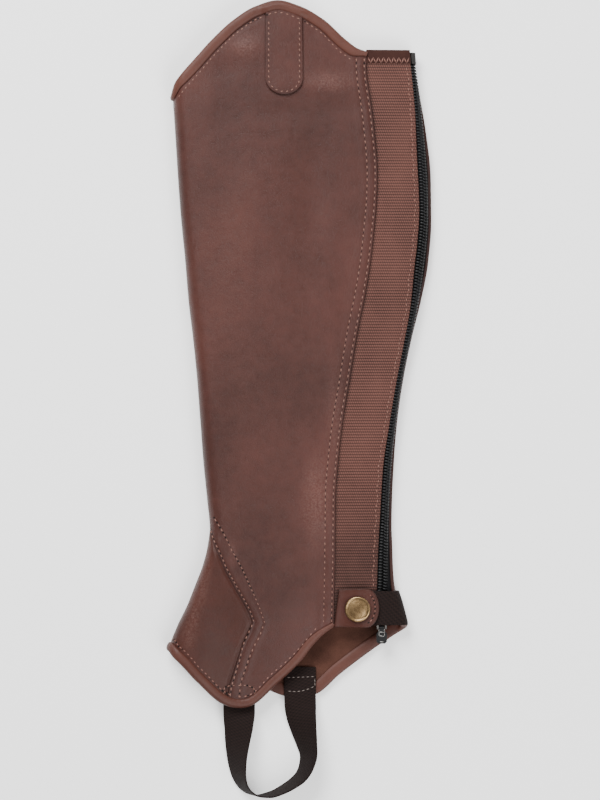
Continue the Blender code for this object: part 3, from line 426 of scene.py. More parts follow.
def edge_distance(points):
    """Distance in millimetres of each grid point from the grid's nearest border, along rows and columns."""
    nearest = np.full(points.shape[:2], 1e9)
    for axis in (0, 1):
        step = np.linalg.norm(np.diff(points, axis=axis), axis=-1) / MM
        start = np.zeros_like(step.take([0], axis))
        walked = np.concatenate([start, np.cumsum(step, axis=axis)], axis)
        whole = walked.take([-1], axis)
        nearest = np.minimum(nearest, np.minimum(walked, whole - walked))
    return nearest


def add_layer(name, q, y, top, thick, finishes, roll=0.5, uv=None, marks=None):
    """A wall over a grid of skin places whose outer face is at top, with its edges rolled over."""
    distance = edge_distance(place(q, y, top))
    outer = place(q, y, top - rolled(distance, roll)).reshape(-1, 3)
    inner = place(q, y, top - thick + rolled(distance, min(roll, 0.4 * thick)) * 0.6).reshape(-1, 3)
    quads = grid_quads(np.arange(q.size).reshape(q.shape))
    # Darker rolled edges: partly edge dye, partly painted shade along the outline
    marks = {"cut": np.exp(-distance / 0.9), **(marks or {})}
    return add_wall(name, outer, inner, quads, finishes, uv, marks)


def settle(piece, nodes=(), body="gaiter"):
    """Hangs a piece on the body that carries it, hides the solids that it stands for, and prints its face
    count.
    """
    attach(piece, body)
    if nodes:
        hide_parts(*nodes)
    print(piece.name, len(piece.data.polygons), "faces")
    return piece


# %% [markdown]
# ## Finishes
# Each finish is a small node graph on object coordinates, which suit a piece that lies still, or on the
# cloth's own coordinates where a weave must follow a strap. Colour, roughness and a bump height are worked
# out apart.

# %% Node helpers


def linear(red, green, blue):
    """A colour given as screen values from 0 to 255, as the linear values that a shader takes."""
    share = np.array([red, green, blue]) / 255
    value = np.where(share <= 0.04045, share / 12.92, ((share + 0.055) / 1.055) ** 2.4)
    return (*value.tolist(), 1.0)


def new_finish(name):
    """A material and its node tree, with the shader that it starts with."""
    made = bpy.data.materials.new(name)
    made.use_nodes = True
    tree = made.node_tree
    return made, tree, tree.nodes["Principled BSDF"]


def feed(tree, node, inputs):
    """Gives a node's sockets their values, or links them to the sockets that feed them."""
    for key, value in inputs.items():
        if isinstance(value, bpy.types.NodeSocket):
            tree.links.new(value, node.inputs[key])
        else:
            node.inputs[key].default_value = value


def add(tree, kind, inputs=None, **settings):
    """Adds a node: settings are its own choices, and inputs are for feed."""
    made = tree.nodes.new(kind)
    for key, value in settings.items():
        setattr(made, key, value)
    feed(tree, made, inputs or {})
    return made


def object_place(tree):
    """The place on the piece, in metres."""
    return add(tree, "ShaderNodeTexCoord").outputs["Object"]


def cloth_place(tree):
    """(x, y) on the cloth's own coordinates."""
    where = add(tree, "ShaderNodeUVMap", uv_map="cloth").outputs[0]
    parts = add(tree, "ShaderNodeSeparateXYZ", {0: where}).outputs
    return parts["X"], parts["Y"]


def noise(tree, where, scale, detail=3.0, rough=0.55):
    """Cloudy noise from 0 to 1 with features about 1/scale metres across."""
    return add(tree, "ShaderNodeTexNoise", {"Vector": where, "Scale": scale, "Detail": detail,
                                            "Roughness": rough}).outputs["Fac"]


def maths(tree, operation, a, b=0.0, c=0.0):
    """One sum on two or three numbers."""
    return add(tree, "ShaderNodeMath", {0: a, 1: b, 2: c}, operation=operation).outputs[0]


def weigh(tree, *terms):
    """Sum of value * share over the terms."""
    total = 0.0
    for value, share in terms:
        total = maths(tree, "MULTIPLY_ADD", value, share, total)
    return total


def between(tree, value, low, high, to_low=0.0, to_high=1.0):
    """Maps low..high onto to_low..to_high and holds the ends."""
    return add(tree, "ShaderNodeMapRange", {"Value": value, "From Min": low, "From Max": high,
                                            "To Min": to_low, "To Max": to_high}).outputs[0]


def thin_lines(tree, value, width):
    """0 along the lines where a noise crosses its middle value, and 1 at a width from them."""
    off_middle = maths(tree, "ABSOLUTE", maths(tree, "SUBTRACT", value, 0.5))
    return between(tree, off_middle, 0.0, width)


def blend(tree, share, first, second):
    """Mixes two colours by a share. Sockets 0, 6 and 7 are the ones that a colour mix uses."""
    return add(tree, "ShaderNodeMix", {0: share, 6: first, 7: second}, data_type="RGBA").outputs[2]


def raise_bump(tree, height, distance, strength=1.0, under=None):
    """Tilts the shading as if the surface rose by height times distance metres."""
    inputs = {"Height": height, "Distance": distance, "Strength": strength}
    if under is not None:
        inputs["Normal"] = under
    return add(tree, "ShaderNodeBump", inputs).outputs[0]


def attribute(tree, title):
    """A number kept on the mesh's points."""
    return add(tree, "ShaderNodeAttribute", attribute_name=title).outputs["Fac"]


# %% Leather
# How many features of each noise fit in a metre
BROAD, MOTTLE, PORES, PEBBLES, GLINTS, CREASES, FOLDS = 12, 170, 5200, 1450, 850, 130, 330
PEBBLE_EDGE, CREASE_WIDTH, FOLD_WIDTH = 0.22, 0.035, 0.11
# Colours of a painted sheen, of painted shade in the grain's grooves, and of cut edges, partly edge dye and
# partly painted shade
PAINTED_SHEEN, GROOVE_SHADE, EDGE_DYE_AND_SHADE = linear(112, 82, 75), linear(30, 14, 11), linear(38, 20, 16)


def leather(name, dark, light, grain_bump=1.0, gloss=0.43):
    """Smooth grain leather: pebbles 0.7 mm across from Voronoi edges, pores, broad mottling and fine creases.
    Three marks on the mesh steer it: one holds painted highlights and painted shade, which shift the tone and
    blend a grainy painted sheen into the colour; the cut mark darkens the edges, partly as edge dye and
    partly as painted shade; the worn mark says where it is creased. The grain's grooves are darkened as
    painted shade."""
    made, tree, shader = new_finish(name)
    where, painted_sheen_shade = object_place(tree), attribute(tree, "painted_sheen_shade")
    broad, mottle = noise(tree, where, BROAD, 3), noise(tree, where, MOTTLE, 4)
    pores = noise(tree, where, PORES, 2)

    wander = add(tree, "ShaderNodeTexNoise", {"Vector": where, "Scale": 700.0}).outputs["Color"]
    wander = add(tree, "ShaderNodeVectorMath", {0: wander, 1: (0.0004,) * 3, 2: where},
                 operation="MULTIPLY_ADD")
    cells = add(tree, "ShaderNodeTexVoronoi", {"Vector": wander.outputs[0], "Scale": PEBBLES},
                feature="DISTANCE_TO_EDGE").outputs["Distance"]
    pebble = between(tree, cells, 0.0, PEBBLE_EDGE)
    stretched = add(tree, "ShaderNodeMapping", {"Vector": where, "Scale": (1.0, 0.35, 1.0)}).outputs[0]
    crease = thin_lines(tree, noise(tree, stretched, CREASES, 5, 0.62), CREASE_WIDTH)
    slanted = add(tree, "ShaderNodeMapping", {"Vector": where, "Rotation": (0.0, 0.0, 0.9),
                                              "Scale": (1.0, 0.5, 1.0)}).outputs[0]
    folds = thin_lines(tree, noise(tree, slanted, FOLDS, 3, 0.5), FOLD_WIDTH)

    # Painted highlight and shade from the mesh shift the tone; grainy glints make the painted sheen
    tone = weigh(tree, (broad, 0.75), (mottle, 0.25), (painted_sheen_shade, 0.18))
    glint = between(tree, noise(tree, where, GLINTS, 3), 0.38, 0.66, 0.0, 0.5)
    groove = maths(tree, "SUBTRACT", 1.0, pebble)
    colour = blend(tree, between(tree, tone, 0.2, 0.8), dark, light)
    # Painted sheen where the mesh holds painted highlights
    colour = blend(tree, maths(tree, "MULTIPLY", painted_sheen_shade, glint), colour, PAINTED_SHEEN)
    # Painted shade in the grain's grooves
    colour = blend(tree, maths(tree, "MULTIPLY", groove, 0.16), colour, GROOVE_SHADE)
    # Darker edges: partly edge dye, partly painted shade along the outline
    colour = blend(tree, maths(tree, "MULTIPLY", attribute(tree, "cut"), 0.65), colour, EDGE_DYE_AND_SHADE)

    bump = raise_bump(tree, weigh(tree, (pores, 0.3), (pebble, 1.0)), 0.00006, 0.8 * grain_bump)
    bump = raise_bump(tree, crease, 0.00012, 0.2 * grain_bump, bump)
    bump = raise_bump(tree, maths(tree, "MULTIPLY", folds, attribute(tree, "worn")), 0.0004, 0.18, bump)
    bump = raise_bump(tree, mottle, 0.0009, 0.22, bump)
    rough = between(tree, mottle, 0.3, 0.7, gloss - 0.05, gloss + 0.07)
    feed(tree, shader, {"Base Color": colour, "Roughness": rough, "Normal": bump,
                        "Specular IOR Level": 0.22, "Coat Weight": 0.03, "Coat Roughness": 0.25})
    return made


panel_leather = leather("panel leather", linear(40, 19, 15), linear(83, 46, 39))
instep_leather = leather("instep leather", linear(44, 18, 11), linear(76, 36, 26))
trim_leather = leather("binding leather", linear(60, 32, 25), linear(93, 55, 45), 0.7, 0.5)


def suede(name, dark, light):
    """Flesh side of leather: short fibres that scatter light, with no shine."""
    made, tree, shader = new_finish(name)
    where = object_place(tree)
    nap, patches = noise(tree, where, 1500, 5, 0.7), noise(tree, where, 60, 4)
    tone = between(tree, weigh(tree, (patches, 0.6), (nap, 0.4)), 0.35, 0.65)
    feed(tree, shader, {"Base Color": blend(tree, tone, dark, light), "Roughness": 0.9,
                        "Normal": raise_bump(tree, nap, 0.00025, 0.7), "Specular IOR Level": 0.15,
                        "Sheen Weight": 0.08, "Sheen Roughness": 0.4})
    return made


inside_suede = suede("inside suede", linear(54, 32, 25), linear(84, 54, 44))

# %% Cloth and thread


def ribbed_cloth(name, valley, ridge):
    """Elastic with ribs: the mesh carries the ribs' height, and crossing threads 1.35 mm apart dot each rib.
    Rib valleys take the dark colour and rib tops the light one, as painted shade; the rib mark is also
    darkened as painted shade by the seam, beside the closing tab and towards the bottom. Broad random
    patches, lighter or darker, are painted shade bands."""
    made, tree, shader = new_finish(name)
    where, rib = object_place(tree), attribute(tree, "rib")
    parts = add(tree, "ShaderNodeSeparateXYZ", {0: where}).outputs
    rib_turn, thread_turn = math.pi / (RIB_PITCH * MM), 2 * math.pi / (THREAD_PITCH * MM)
    turns = weigh(tree, (parts["Y"], rib_turn), (parts["X"], thread_turn))
    dots = between(tree, maths(tree, "SINE", turns), -1.0, 1.0)
    fuzz, patch = noise(tree, where, 2600, 3, 0.7), noise(tree, where, 34, 3)
    # Painted shade: dark rib valleys, the shade carried by the rib mark, and broad patches as shade bands
    tone = weigh(tree, (rib, 0.3), (maths(tree, "MULTIPLY", dots, rib), 0.6), (fuzz, 0.3),
                 (maths(tree, "SUBTRACT", patch, 0.3), 0.45))
    height = weigh(tree, (dots, 0.7), (fuzz, 1.0))
    feed(tree, shader, {"Base Color": blend(tree, between(tree, tone, 0.15, 1.0), valley, ridge),
                        "Normal": raise_bump(tree, height, 0.0003, 0.8), "Roughness": 0.75,
                        "Specular IOR Level": 0.25})
    return made


def woven(name, dark, light, pitch, lean=0.0):
    """Weave on the cloth's own coordinates: warp and weft sines, one raised where the other dips. lean slants
    the weft into a twill."""
    made, tree, shader = new_finish(name)
    x, y = cloth_place(tree)
    turn = 2 * math.pi / (pitch * MM)
    warp = maths(tree, "SINE", maths(tree, "MULTIPLY", x, turn))
    weft = maths(tree, "SINE", maths(tree, "MULTIPLY", weigh(tree, (x, lean), (y, 1.0)), turn))
    crossed = weigh(tree, (warp, weft), (weft, lean))
    weave = between(tree, crossed, -1.0 - lean, 1.0 + lean)
    fuzz = noise(tree, object_place(tree), 2400, 3, 0.7)
    tone = between(tree, weigh(tree, (weave, 0.6), (fuzz, 0.5)), 0.2, 0.9)
    height = maths(tree, "ADD", weave, fuzz)
    feed(tree, shader, {"Base Color": blend(tree, tone, dark, light), "Roughness": 0.85,
                        "Normal": raise_bump(tree, height, 0.00016, 0.8), "Specular IOR Level": 0.15})
    return made


def thread(name, colour, shade):
    """Twisted sewing thread: slanted turns along each stitch's own length."""
    made, tree, shader = new_finish(name)
    x, y = cloth_place(tree)
    twist = between(tree, maths(tree, "SINE", weigh(tree, (x, 12.0), (y, 2 * math.pi))), -1.0, 1.0)
    feed(tree, shader, {"Base Color": blend(tree, twist, shade, colour), "Roughness": 0.6,
                        "Normal": raise_bump(tree, twist, 0.00008, 0.7)})
    return made


ribbed_elastic = ribbed_cloth("ribbed elastic", linear(13, 6, 5), linear(106, 68, 59))
hem_cloth = suede("gusset hem cloth", linear(42, 23, 19), linear(60, 36, 31))
dark_webbing = woven("dark webbing", linear(7, 4, 4), linear(35, 23, 20), 2.0, lean=0.7)
zip_cloth = woven("zip tape cloth", linear(5, 5, 6), linear(22, 21, 22), 1.2)
pale_thread = thread("pale thread", linear(126, 88, 74), linear(78, 50, 42))
brown_thread = thread("brown thread", linear(130, 88, 76), linear(76, 45, 37))
grey_thread = thread("grey thread", linear(118, 106, 100), linear(60, 50, 47))

# %% Hard finishes


def plain_hard(name, colour, rough, metallic=0.0, wear=(0.0, 0.0, 0.0, 1.0), wear_share=0.3):
    """Metal or nylon: patches of wear, and roughness that varies with them."""
    made, tree, shader = new_finish(name)
    where = object_place(tree)
    patch, fine = noise(tree, where, 320, 5, 0.6), noise(tree, where, 1800, 3)
    share = between(tree, patch, 0.4, 0.7, 0.0, wear_share)
    feed(tree, shader, {"Base Color": blend(tree, share, colour, wear), "Metallic": metallic,
                        "Roughness": between(tree, fine, 0.3, 0.7, rough - 0.06, rough + 0.1),
                        "Normal": raise_bump(tree, fine, 0.00003, 0.6), "Specular IOR Level": 0.3})
    return made


coil_nylon = plain_hard("coil nylon", linear(5, 5, 6), 0.42, 0.0, linear(14, 14, 16), 0.6)
grey_metal = plain_hard("grey metal", linear(96, 94, 92), 0.34, 1.0, linear(44, 42, 41), 0.6)
bright_metal = plain_hard("bright metal", linear(128, 126, 124), 0.36, 1.0, linear(70, 68, 67), 0.5)
dull_metal = plain_hard("dull metal", linear(70, 68, 67), 0.42, 1.0, linear(40, 39, 38), 0.5)
aged_brass = plain_hard("aged brass", linear(158, 130, 93), 0.3, 1.0, linear(84, 63, 41), 0.7)
# Painted shade: the dark finish of the discs that stand for needle holes
hole_shade_finish = plain_hard("needle hole", linear(16, 8, 6), 0.9)
print("finishes", len(bpy.data.materials))

# %% [markdown]
# ## The leg panel
# On the real gaiter this is one cut of leather. It starts at the gusset's seam, goes round the shin fold,
# along the underside and round the back to the zip, with a notch at the shin for the instep. Two grids that
# share their points along the shin fold above the notch make it one sheet. The leather is thicker by the
# seams, where its edge is turned under, and dips along each row of stitches.

# %% Rows and columns of the leg panel
STITCH_ROWS = (1.6, 6.6)
ROW_PAST, ROW_STEP, NOTCH_ROWS, CUT_FADE, FAR = 1.5, 2.0, 27, 0.8, 60.0
SWELL, DIP, DIP_WIDTH, PINCH, PINCH_WIDTH, NOTCH_RAMP = 0.45, 0.4, 0.8, 0.25, 1.3, 12.0
OUTER_FLAT, INNER_FLAT, BACK_COLUMNS, SEAM_ROLL, CUT_ROLL, HEM_ABOUT = 46, 31, 15, 0.9, 0.8, -185.0
SHIN_BASE = [0.0, 0.12, 0.4, 0.9, 1.6, 2.4, 3.4, 4.6, 5.9, 7.3, 8.8, 10.4, 12.2]
SEAM_FROM_END = [0.0, 0.12, 0.4, 0.9, 1.6, 2.4, 3.3, 4.3, 5.4, 6.6, 7.8, 9.4, 11.5, 14.0]


def dense_levels(marks, step):
    """Heights that pass through every mark, no further apart than step."""
    spans = zip(marks[:-1], marks[1:])
    parts = [np.linspace(a, b, max(2, int(abs(b - a) / step) + 2))[:-1] for a, b in spans]
    return np.concatenate([*parts, [marks[-1]]])


def notch_levels(bottom):
    """Heights of the instep seam's points, from the hem up to the apex; the number never changes."""
    low = np.linspace(bottom, TONGUE_CORNER_Y, NOTCH_ROWS)
    high = sorted(y for y, place_across in TONGUE if y >= TONGUE_CORNER_Y)
    return np.concatenate([low[:-1], dense_levels(high, ROW_STEP)])


def seam_foot(side):
    """Height where the instep seam meets the hem on one side, by repeated guessing."""
    y = HEM_ABOUT
    for _ in range(20):
        y = float(panel_bottom(side * tongue_girth(np.array(y))))
    return y


def outer_columns(y):
    """Girths of the outer side's columns: fixed steps near both ends, even steps between. They are all
    squeezed together at the notch."""
    end, start = gusset_seam_girth(y), tongue_girth(y)
    last = np.array(SEAM_FROM_END[::-1])
    flat = np.linspace(0, 1, OUTER_FLAT)[:-1, None]
    base = np.concatenate([np.outer(SHIN_BASE, np.ones_like(y)), QUARTER + flat * (end - last[0] - QUARTER),
                           end - last[:, None]])
    return start + (end - start) * base / end


def inner_columns(y):
    """Girths of the inner side's columns, from the shin fold or instep seam to the leather's back edge."""
    end, flat_end = back_edge_girth(y), QUARTER + flat_run(y)
    flat = np.linspace(0, 1, INNER_FLAT)[:-1, None]
    back = np.concatenate([np.linspace(0, 0.9, BACK_COLUMNS), [0.94, 0.97, 0.99, 1.0]])[:, None]
    base = np.concatenate([np.outer(SHIN_BASE, np.ones_like(y)), QUARTER + flat * (flat_end - QUARTER),
                           flat_end + back * (end - flat_end)])
    return -(base + tongue_girth(y) * (1 - base / end) ** 2)


def meet(columns, edge, guess):
    """Height where each column reaches an edge, by walking along the column a few times."""
    y = np.full(len(columns(np.array([0.0]))), guess, float)
    for _ in range(30):
        y = edge(np.diagonal(columns(y)))
    return y


def leg_half(columns, foot):
    """(girths, heights) of one side's grid, with rows from the hem to the top edge."""
    bottom, top = meet(columns, panel_bottom, foot), meet(columns, panel_top, 200.0)
    levels = notch_levels(bottom[0])
    levels = np.concatenate([levels, dense_levels([APEX_Y, top[0]], ROW_STEP)[1:]])
    share = (levels - levels[0]) / (levels[-1] - levels[0])
    heights = bottom + share[:, None] * (top - bottom)
    return np.stack([np.diagonal(columns(row)) for row in heights]), heights


def seam_relief(d):
    """Leather beside a seam: up 0.45 mm over the turned edge, with a 0.4 mm dip along each stitch row."""
    dips = sum(np.exp(-(((d - row) / DIP_WIDTH) ** 2)) for row in STITCH_ROWS)
    return SWELL * (1 - ease((d - 6.0) / 6.0)) - DIP * dips


def binding_relief(q, y, leg_top, leg_hem):
    """Leather just past a binding is pinched by its stitches: a 0.25 mm dip along their row."""
    edges = ((rim, leg_top), (hem, leg_hem))
    past_row = [np.abs(edge(q) - y) - (BINDING_PAST + strip_leg + ROW_PAST) for edge, strip_leg in edges]
    return -PINCH * sum(np.exp(-((distance / PINCH_WIDTH) ** 2)) for distance in past_row)


def past_notch(q, y):
    """Distance from the instep seam along the girth, and far off above its apex."""
    return np.where(y < APEX_Y, np.abs(q) - tongue_girth(y), FAR)


def dye_and_shade_at_edges(*distances):
    """1 on a cut edge, fading as exp(-distance / 0.8): edge dye, and painted shade along the outline."""
    return sum(np.exp(-distance / CUT_FADE) for distance in distances)


# %% Build the leg panel
outer_q, outer_y = leg_half(outer_columns, seam_foot(1))
inner_q, inner_y = leg_half(inner_columns, seam_foot(-1))
print("leg panel grids", outer_q.shape, inner_q.shape)

from_gusset, from_notch = gusset_seam_girth(outer_y) - outer_q, past_notch(outer_q, outer_y)
notch_ramp = ease((APEX_Y - outer_y) / NOTCH_RAMP)
outer_out = seam_relief(from_gusset) + notch_ramp * seam_relief(from_notch)
outer_out += binding_relief(outer_q, outer_y, RIM_LEG, HEM_OUTER_LEG)
outer_out -= rolled(from_gusset, SEAM_ROLL) + rolled(from_notch, CUT_ROLL)
# Darker edges by the seam and the notch: edge dye and painted shade
outer_edge_dye_shade = dye_and_shade_at_edges(from_gusset, from_notch)

from_back, from_notch = back_edge_girth(inner_y) + inner_q, past_notch(inner_q, inner_y)
inner_out = -rolled(from_back, CUT_ROLL) - rolled(from_notch, CUT_ROLL)
inner_edge_dye_shade = dye_and_shade_at_edges(from_back, from_notch)

index = np.arange(outer_q.size).reshape(outer_q.shape)
other = outer_q.size + np.arange(inner_q.size).reshape(inner_q.shape)
apex_row = len(notch_levels(0.0)) - 1
other[apex_row:, 0] = index[apex_row:, 0]
quads = np.concatenate([grid_quads(index), grid_quads(other[:, ::-1])])
used, quads = np.unique(quads, return_inverse=True)
sides = ((outer_q, inner_q), (outer_y, inner_y), (outer_out, inner_out), (outer_edge_dye_shade, inner_edge_dye_shade))
panel_q, panel_y, panel_out, panel_edge_dye_shade = (np.concatenate([a.ravel(), b.ravel()])[used] for a, b in sides)
panel_x = skin_line(panel_q, panel_y)[0]
panel_worn = np.where(panel_q > 0, bells(panel_x, panel_y, CREASED), 0.15)
# Painted highlight and painted shade on the outer side, from the table of bells above
panel_sheen_shade = np.where(panel_q > 0, bells(panel_x, panel_y, SHEEN_AND_SHADE_BELLS), 0.0)
leg = add_wall("leg_leather", place(panel_q, panel_y, panel_out), place(panel_q, panel_y, -LEATHER),
               quads.reshape(-1, 4), [panel_leather, inside_suede],
               marks={"cut": panel_edge_dye_shade, "worn": panel_worn, "painted_sheen_shade": panel_sheen_shade})
settle(leg, ["leg_panel"])


def cloth_size(q, y, level):
    """(across, along, area) in metres of a patch at a level: mean row and column lengths, and the sum of the
    cells' areas, each half the cross product of its diagonals."""
    points = place(q, y, level)
    across = np.linalg.norm(np.diff(points, axis=1), axis=-1).sum(axis=1).mean()
    along = np.linalg.norm(np.diff(points, axis=0), axis=-1).sum(axis=0).mean()
    cells = np.cross(points[1:, 1:] - points[:-1, :-1], points[1:, :-1] - points[:-1, 1:])
    return float(across), float(along), float(np.linalg.norm(cells, axis=-1).sum()) / 2


leg_area = sum(cloth_size(q, y, -LEATHER / 2)[2] for q, y in ((outer_q, outer_y), (inner_q, inner_y)))
print("leg panel cut", round(leg_area, 4), "square metres")

# %% [markdown]
# ## Instep panel
# A darker piece wraps the shin fold over the foot. The leg panel's edges lap over it, so this sheet dips a
# little towards its seams and runs in under them, which leaves the leg panel's rolled edge standing proud.

# %% Instep panel
INSTEP_LAP, INSTEP_DIP, INSTEP_BELOW, DIP_FROM, DIP_OVER = 1.2, 0.75, 0.1, 0.4, 2.2


def instep_grid():
    """(shares, girths, heights): columns run from seam to seam, rows from the tip down to the hem."""
    half = np.concatenate([np.linspace(0, 0.88, 20), [0.905, 0.928, 0.948, 0.964, 0.977, 0.989, 1.0]])
    across = np.concatenate([-half[:0:-1], half])
    feet = {side: seam_foot(side) for side in (-1, 1)}
    share = {}
    for side in (-1, 1):
        levels = notch_levels(feet[side])[::-1].copy()
        levels[0] = APEX_Y - 0.4
        share[side] = (APEX_Y - levels) / (APEX_Y - feet[side])

    def girth(u, y):
        return u * (tongue_girth(y) + INSTEP_LAP)

    bottom = np.full(len(across), -170.0)
    for _ in range(40):
        bottom = panel_bottom(girth(across, bottom))
    toward = (1 + across) / 2
    rows = share[-1][:, None] * (1 - toward) + share[1][:, None] * toward
    heights = APEX_Y + rows * (bottom - APEX_Y)
    return girth(across, heights), heights


instep_q, instep_y = instep_grid()
to_seam = tongue_girth(instep_y) - np.abs(instep_q)
instep_out = -INSTEP_DIP * (1 - ease((to_seam - DIP_FROM) / DIP_OVER)) - INSTEP_BELOW
instep_out += binding_relief(instep_q, instep_y, FAR, HEM_OUTER_LEG)
# Painted highlights along the instep's fold, from the same table of bells
instep_sheen_shade = np.where(instep_q > 0, bells(skin_line(instep_q, instep_y)[0], instep_y, SHEEN_AND_SHADE_BELLS), 0.0)
instep_faces = grid_quads(np.arange(instep_q.size).reshape(instep_q.shape)[::-1])
# Its seam edges darken: partly edge dye, partly painted shade
instep = add_wall("instep_leather", place(instep_q, instep_y, instep_out).reshape(-1, 3),
                  place(instep_q, instep_y, -LEATHER + INSTEP_BELOW).reshape(-1, 3), instep_faces,
                  [instep_leather, inside_suede],
                  marks={"cut": dye_and_shade_at_edges(np.maximum(to_seam, 0)) * 0.6, "painted_sheen_shade": instep_sheen_shade})
settle(instep, ["instep_panel"])
instep_area = cloth_size(instep_q, instep_y, -LEATHER / 2)[2]
print("instep cut", round(instep_area, 4), "square metres")

# %% [markdown]
# ## Ribbed elastic
# The gusset stretches over the calf. Its ribs are real relief: a rounded wave along the height, six rows of
# points to a rib. The dots of the weave are smaller than a rib, so they are left to the finish.

# %% Gusset
ROWS_PER_RIB = 6
UNDER_LEATHER, UNDER_HEM, OVER_ZIP = 1.2, 1.0, 0.2
BOW, RIPPLE, RIPPLE_PITCH, FOLD_LEVEL, FOLD_THICK = 0.12, 0.12, 3.5, 0.15, 1.9
gusset_top = GUSSET_TOP_Y - GUSSET_HEM + UNDER_HEM
gusset_rows = int((gusset_top - GUSSET_BOTTOM_Y) / RIB_PITCH * ROWS_PER_RIB)
levels = np.linspace(GUSSET_BOTTOM_Y, gusset_top, gusset_rows + 1)[:, None]
across = spread(12, 28.0)
start = gusset_seam_girth(levels) - UNDER_LEATHER
gusset_q, gusset_y = across_from(start, zip_girth(levels) + OVER_ZIP, across, levels)
rib = np.abs(np.sin(math.pi * (gusset_y - GUSSET_BOTTOM_Y) / RIB_PITCH)) ** 0.8
bow = BOW * np.sin(math.pi * across)
# Painted shade on the ribs: darker along the leather seam, beside the closing tab and towards the bottom
shade = ease((gusset_q - gusset_seam_girth(levels) - 0.1) / 1.8) * ease((gusset_y + 121.0) / 3.0)
shade = shade * (1 - 0.6 * ease((-40.0 - gusset_y) / 70.0))
gusset = add_layer("gusset_elastic", gusset_q, gusset_y, GUSSET_LEVEL - RIB_HEIGHT * (1 - rib) + bow, ELASTIC,
                   [ribbed_elastic], roll=0.6, marks={"rib": rib * (0.2 + 0.8 * shade)})
settle(gusset, ["elastic_gusset"])
print("ribs", gusset_rows // ROWS_PER_RIB)

levels = (GUSSET_TOP_Y - GUSSET_HEM + GUSSET_HEM * spread(6, GUSSET_HEM))[:, None]
start = gusset_seam_girth(levels) - UNDER_LEATHER / 2
hem_q, hem_y = across_from(start, zip_girth(levels) + OVER_ZIP, spread(14, 27.0), levels)
ripple = RIPPLE * np.sin(2 * math.pi * hem_q / RIPPLE_PITCH)
gusset_hem = add_layer("gusset_hem_fold", hem_q, hem_y, FOLD_LEVEL + ripple, FOLD_THICK, [hem_cloth],
                       roll=0.7)
settle(gusset_hem, ["gusset_hem"])
gusset_wide, gusset_long, gusset_area = cloth_size(gusset_q, gusset_y, GUSSET_LEVEL)
print("gusset", round(gusset_wide, 3), "by", round(gusset_long, 3), "metres")
turned_long = cloth_size(hem_q, hem_y, 0.0)[1]

# %% [markdown]
# ## Bindings
# A binding is a thin strip of leather folded over a raw edge. Its section is drawn once, its corners are
# cut twice to round them, and it is carried along the edge. Each ring stands square to the edge.

# %% Bindings


def binding_section(outer_leg, inner_leg):
    """(across, out) of the folded strip round a panel that lies at across > 0, corners cut twice."""
    gap, past = BINDING_GAP, BINDING_PAST
    top, bottom = gap + BINDING, -LEATHER - gap - BINDING
    corners = np.array([
        (outer_leg, gap - 0.7), (outer_leg, top - 0.75), (outer_leg * 0.75, top),
        (outer_leg * 0.35, top + 0.25), (-0.1, top + 0.05), (-0.65 * past, 0.62 * top),
        (-past, -LEATHER / 2 + 0.7), (-past, -LEATHER / 2 - 0.7), (-0.6 * past, bottom + 0.35),
        (0.3, bottom), (inner_leg * 0.7, bottom + 0.2), (inner_leg, bottom + 0.95),
        (inner_leg, -LEATHER - gap + 0.3), (-gap, -LEATHER - gap), (-gap, gap), (outer_leg * 0.5, gap - 0.2),
    ])
    for _ in range(2):
        after = np.roll(corners, -1, axis=0)
        corners = np.stack([0.75 * corners + 0.25 * after, 0.25 * corners + 0.75 * after], 1).reshape(-1, 2)
    return corners


def slide(q, low, y):
    """Change in girth from height low to y along a panel's column, which keeps to the sides of the cut."""
    girth, seam = np.abs(q), tongue_girth(low)
    fold_low, back_low, gusset_low = QUARTER + flat_run(low), back_edge_girth(low), gusset_seam_girth(low)
    fold, back, seam_end = QUARTER + flat_run(y), back_edge_girth(y), gusset_seam_girth(y)
    over_flat = np.clip((girth - seam) / (fold_low - seam), 0, 1)
    over_back = np.clip((girth - fold_low) / (back_low - fold_low), 0, 1)
    inner = over_flat * (1 - over_back) * (fold - fold_low) + over_back * (back - back_low)
    outer = np.clip((girth - seam) / (gusset_low - seam), 0, 1) * (seam_end - gusset_low)
    return np.where(q < 0, -inner, outer)


TAB_LEFT, TAB_RIGHT, TAB_BOTTOM, TAB_THICK, TAB_CLEAR, TAB_TOP_ABOUT = -21.7, 1.6, 191.9, 1.4, 0.3, 240.0
STRIP_Y, SOFT_END, SOFT_PAST = 243.0, 6.0, 5.0
END_KEEPS, END_OVER, FOLD_OVER = 0.4, 10.0, 9.0


def leg_share(girths, last, at_fold):
    """How much of its width the strip keeps: less towards its last end and over the shin fold."""
    at_end = END_KEEPS + (1 - END_KEEPS) * ease((last - girths) / END_OVER)
    return at_end * (1 - at_fold * np.exp(-((girths / FOLD_OVER) ** 2)))


def over_tab(girths):
    """1 where the top tab lies under the strip, with soft ends 6 mm long."""
    left, right = girth_at(TAB_LEFT, STRIP_Y), girth_at(TAB_RIGHT, STRIP_Y)
    return ease((girths - left + SOFT_PAST) / SOFT_END) * ease((right + SOFT_PAST - girths) / SOFT_END)


BINDING_RINGS, BINDING_CUT = 330, 0.016
PUCKER, PUCKER_PITCH, WANDER = 0.09, 3.4, 0.12


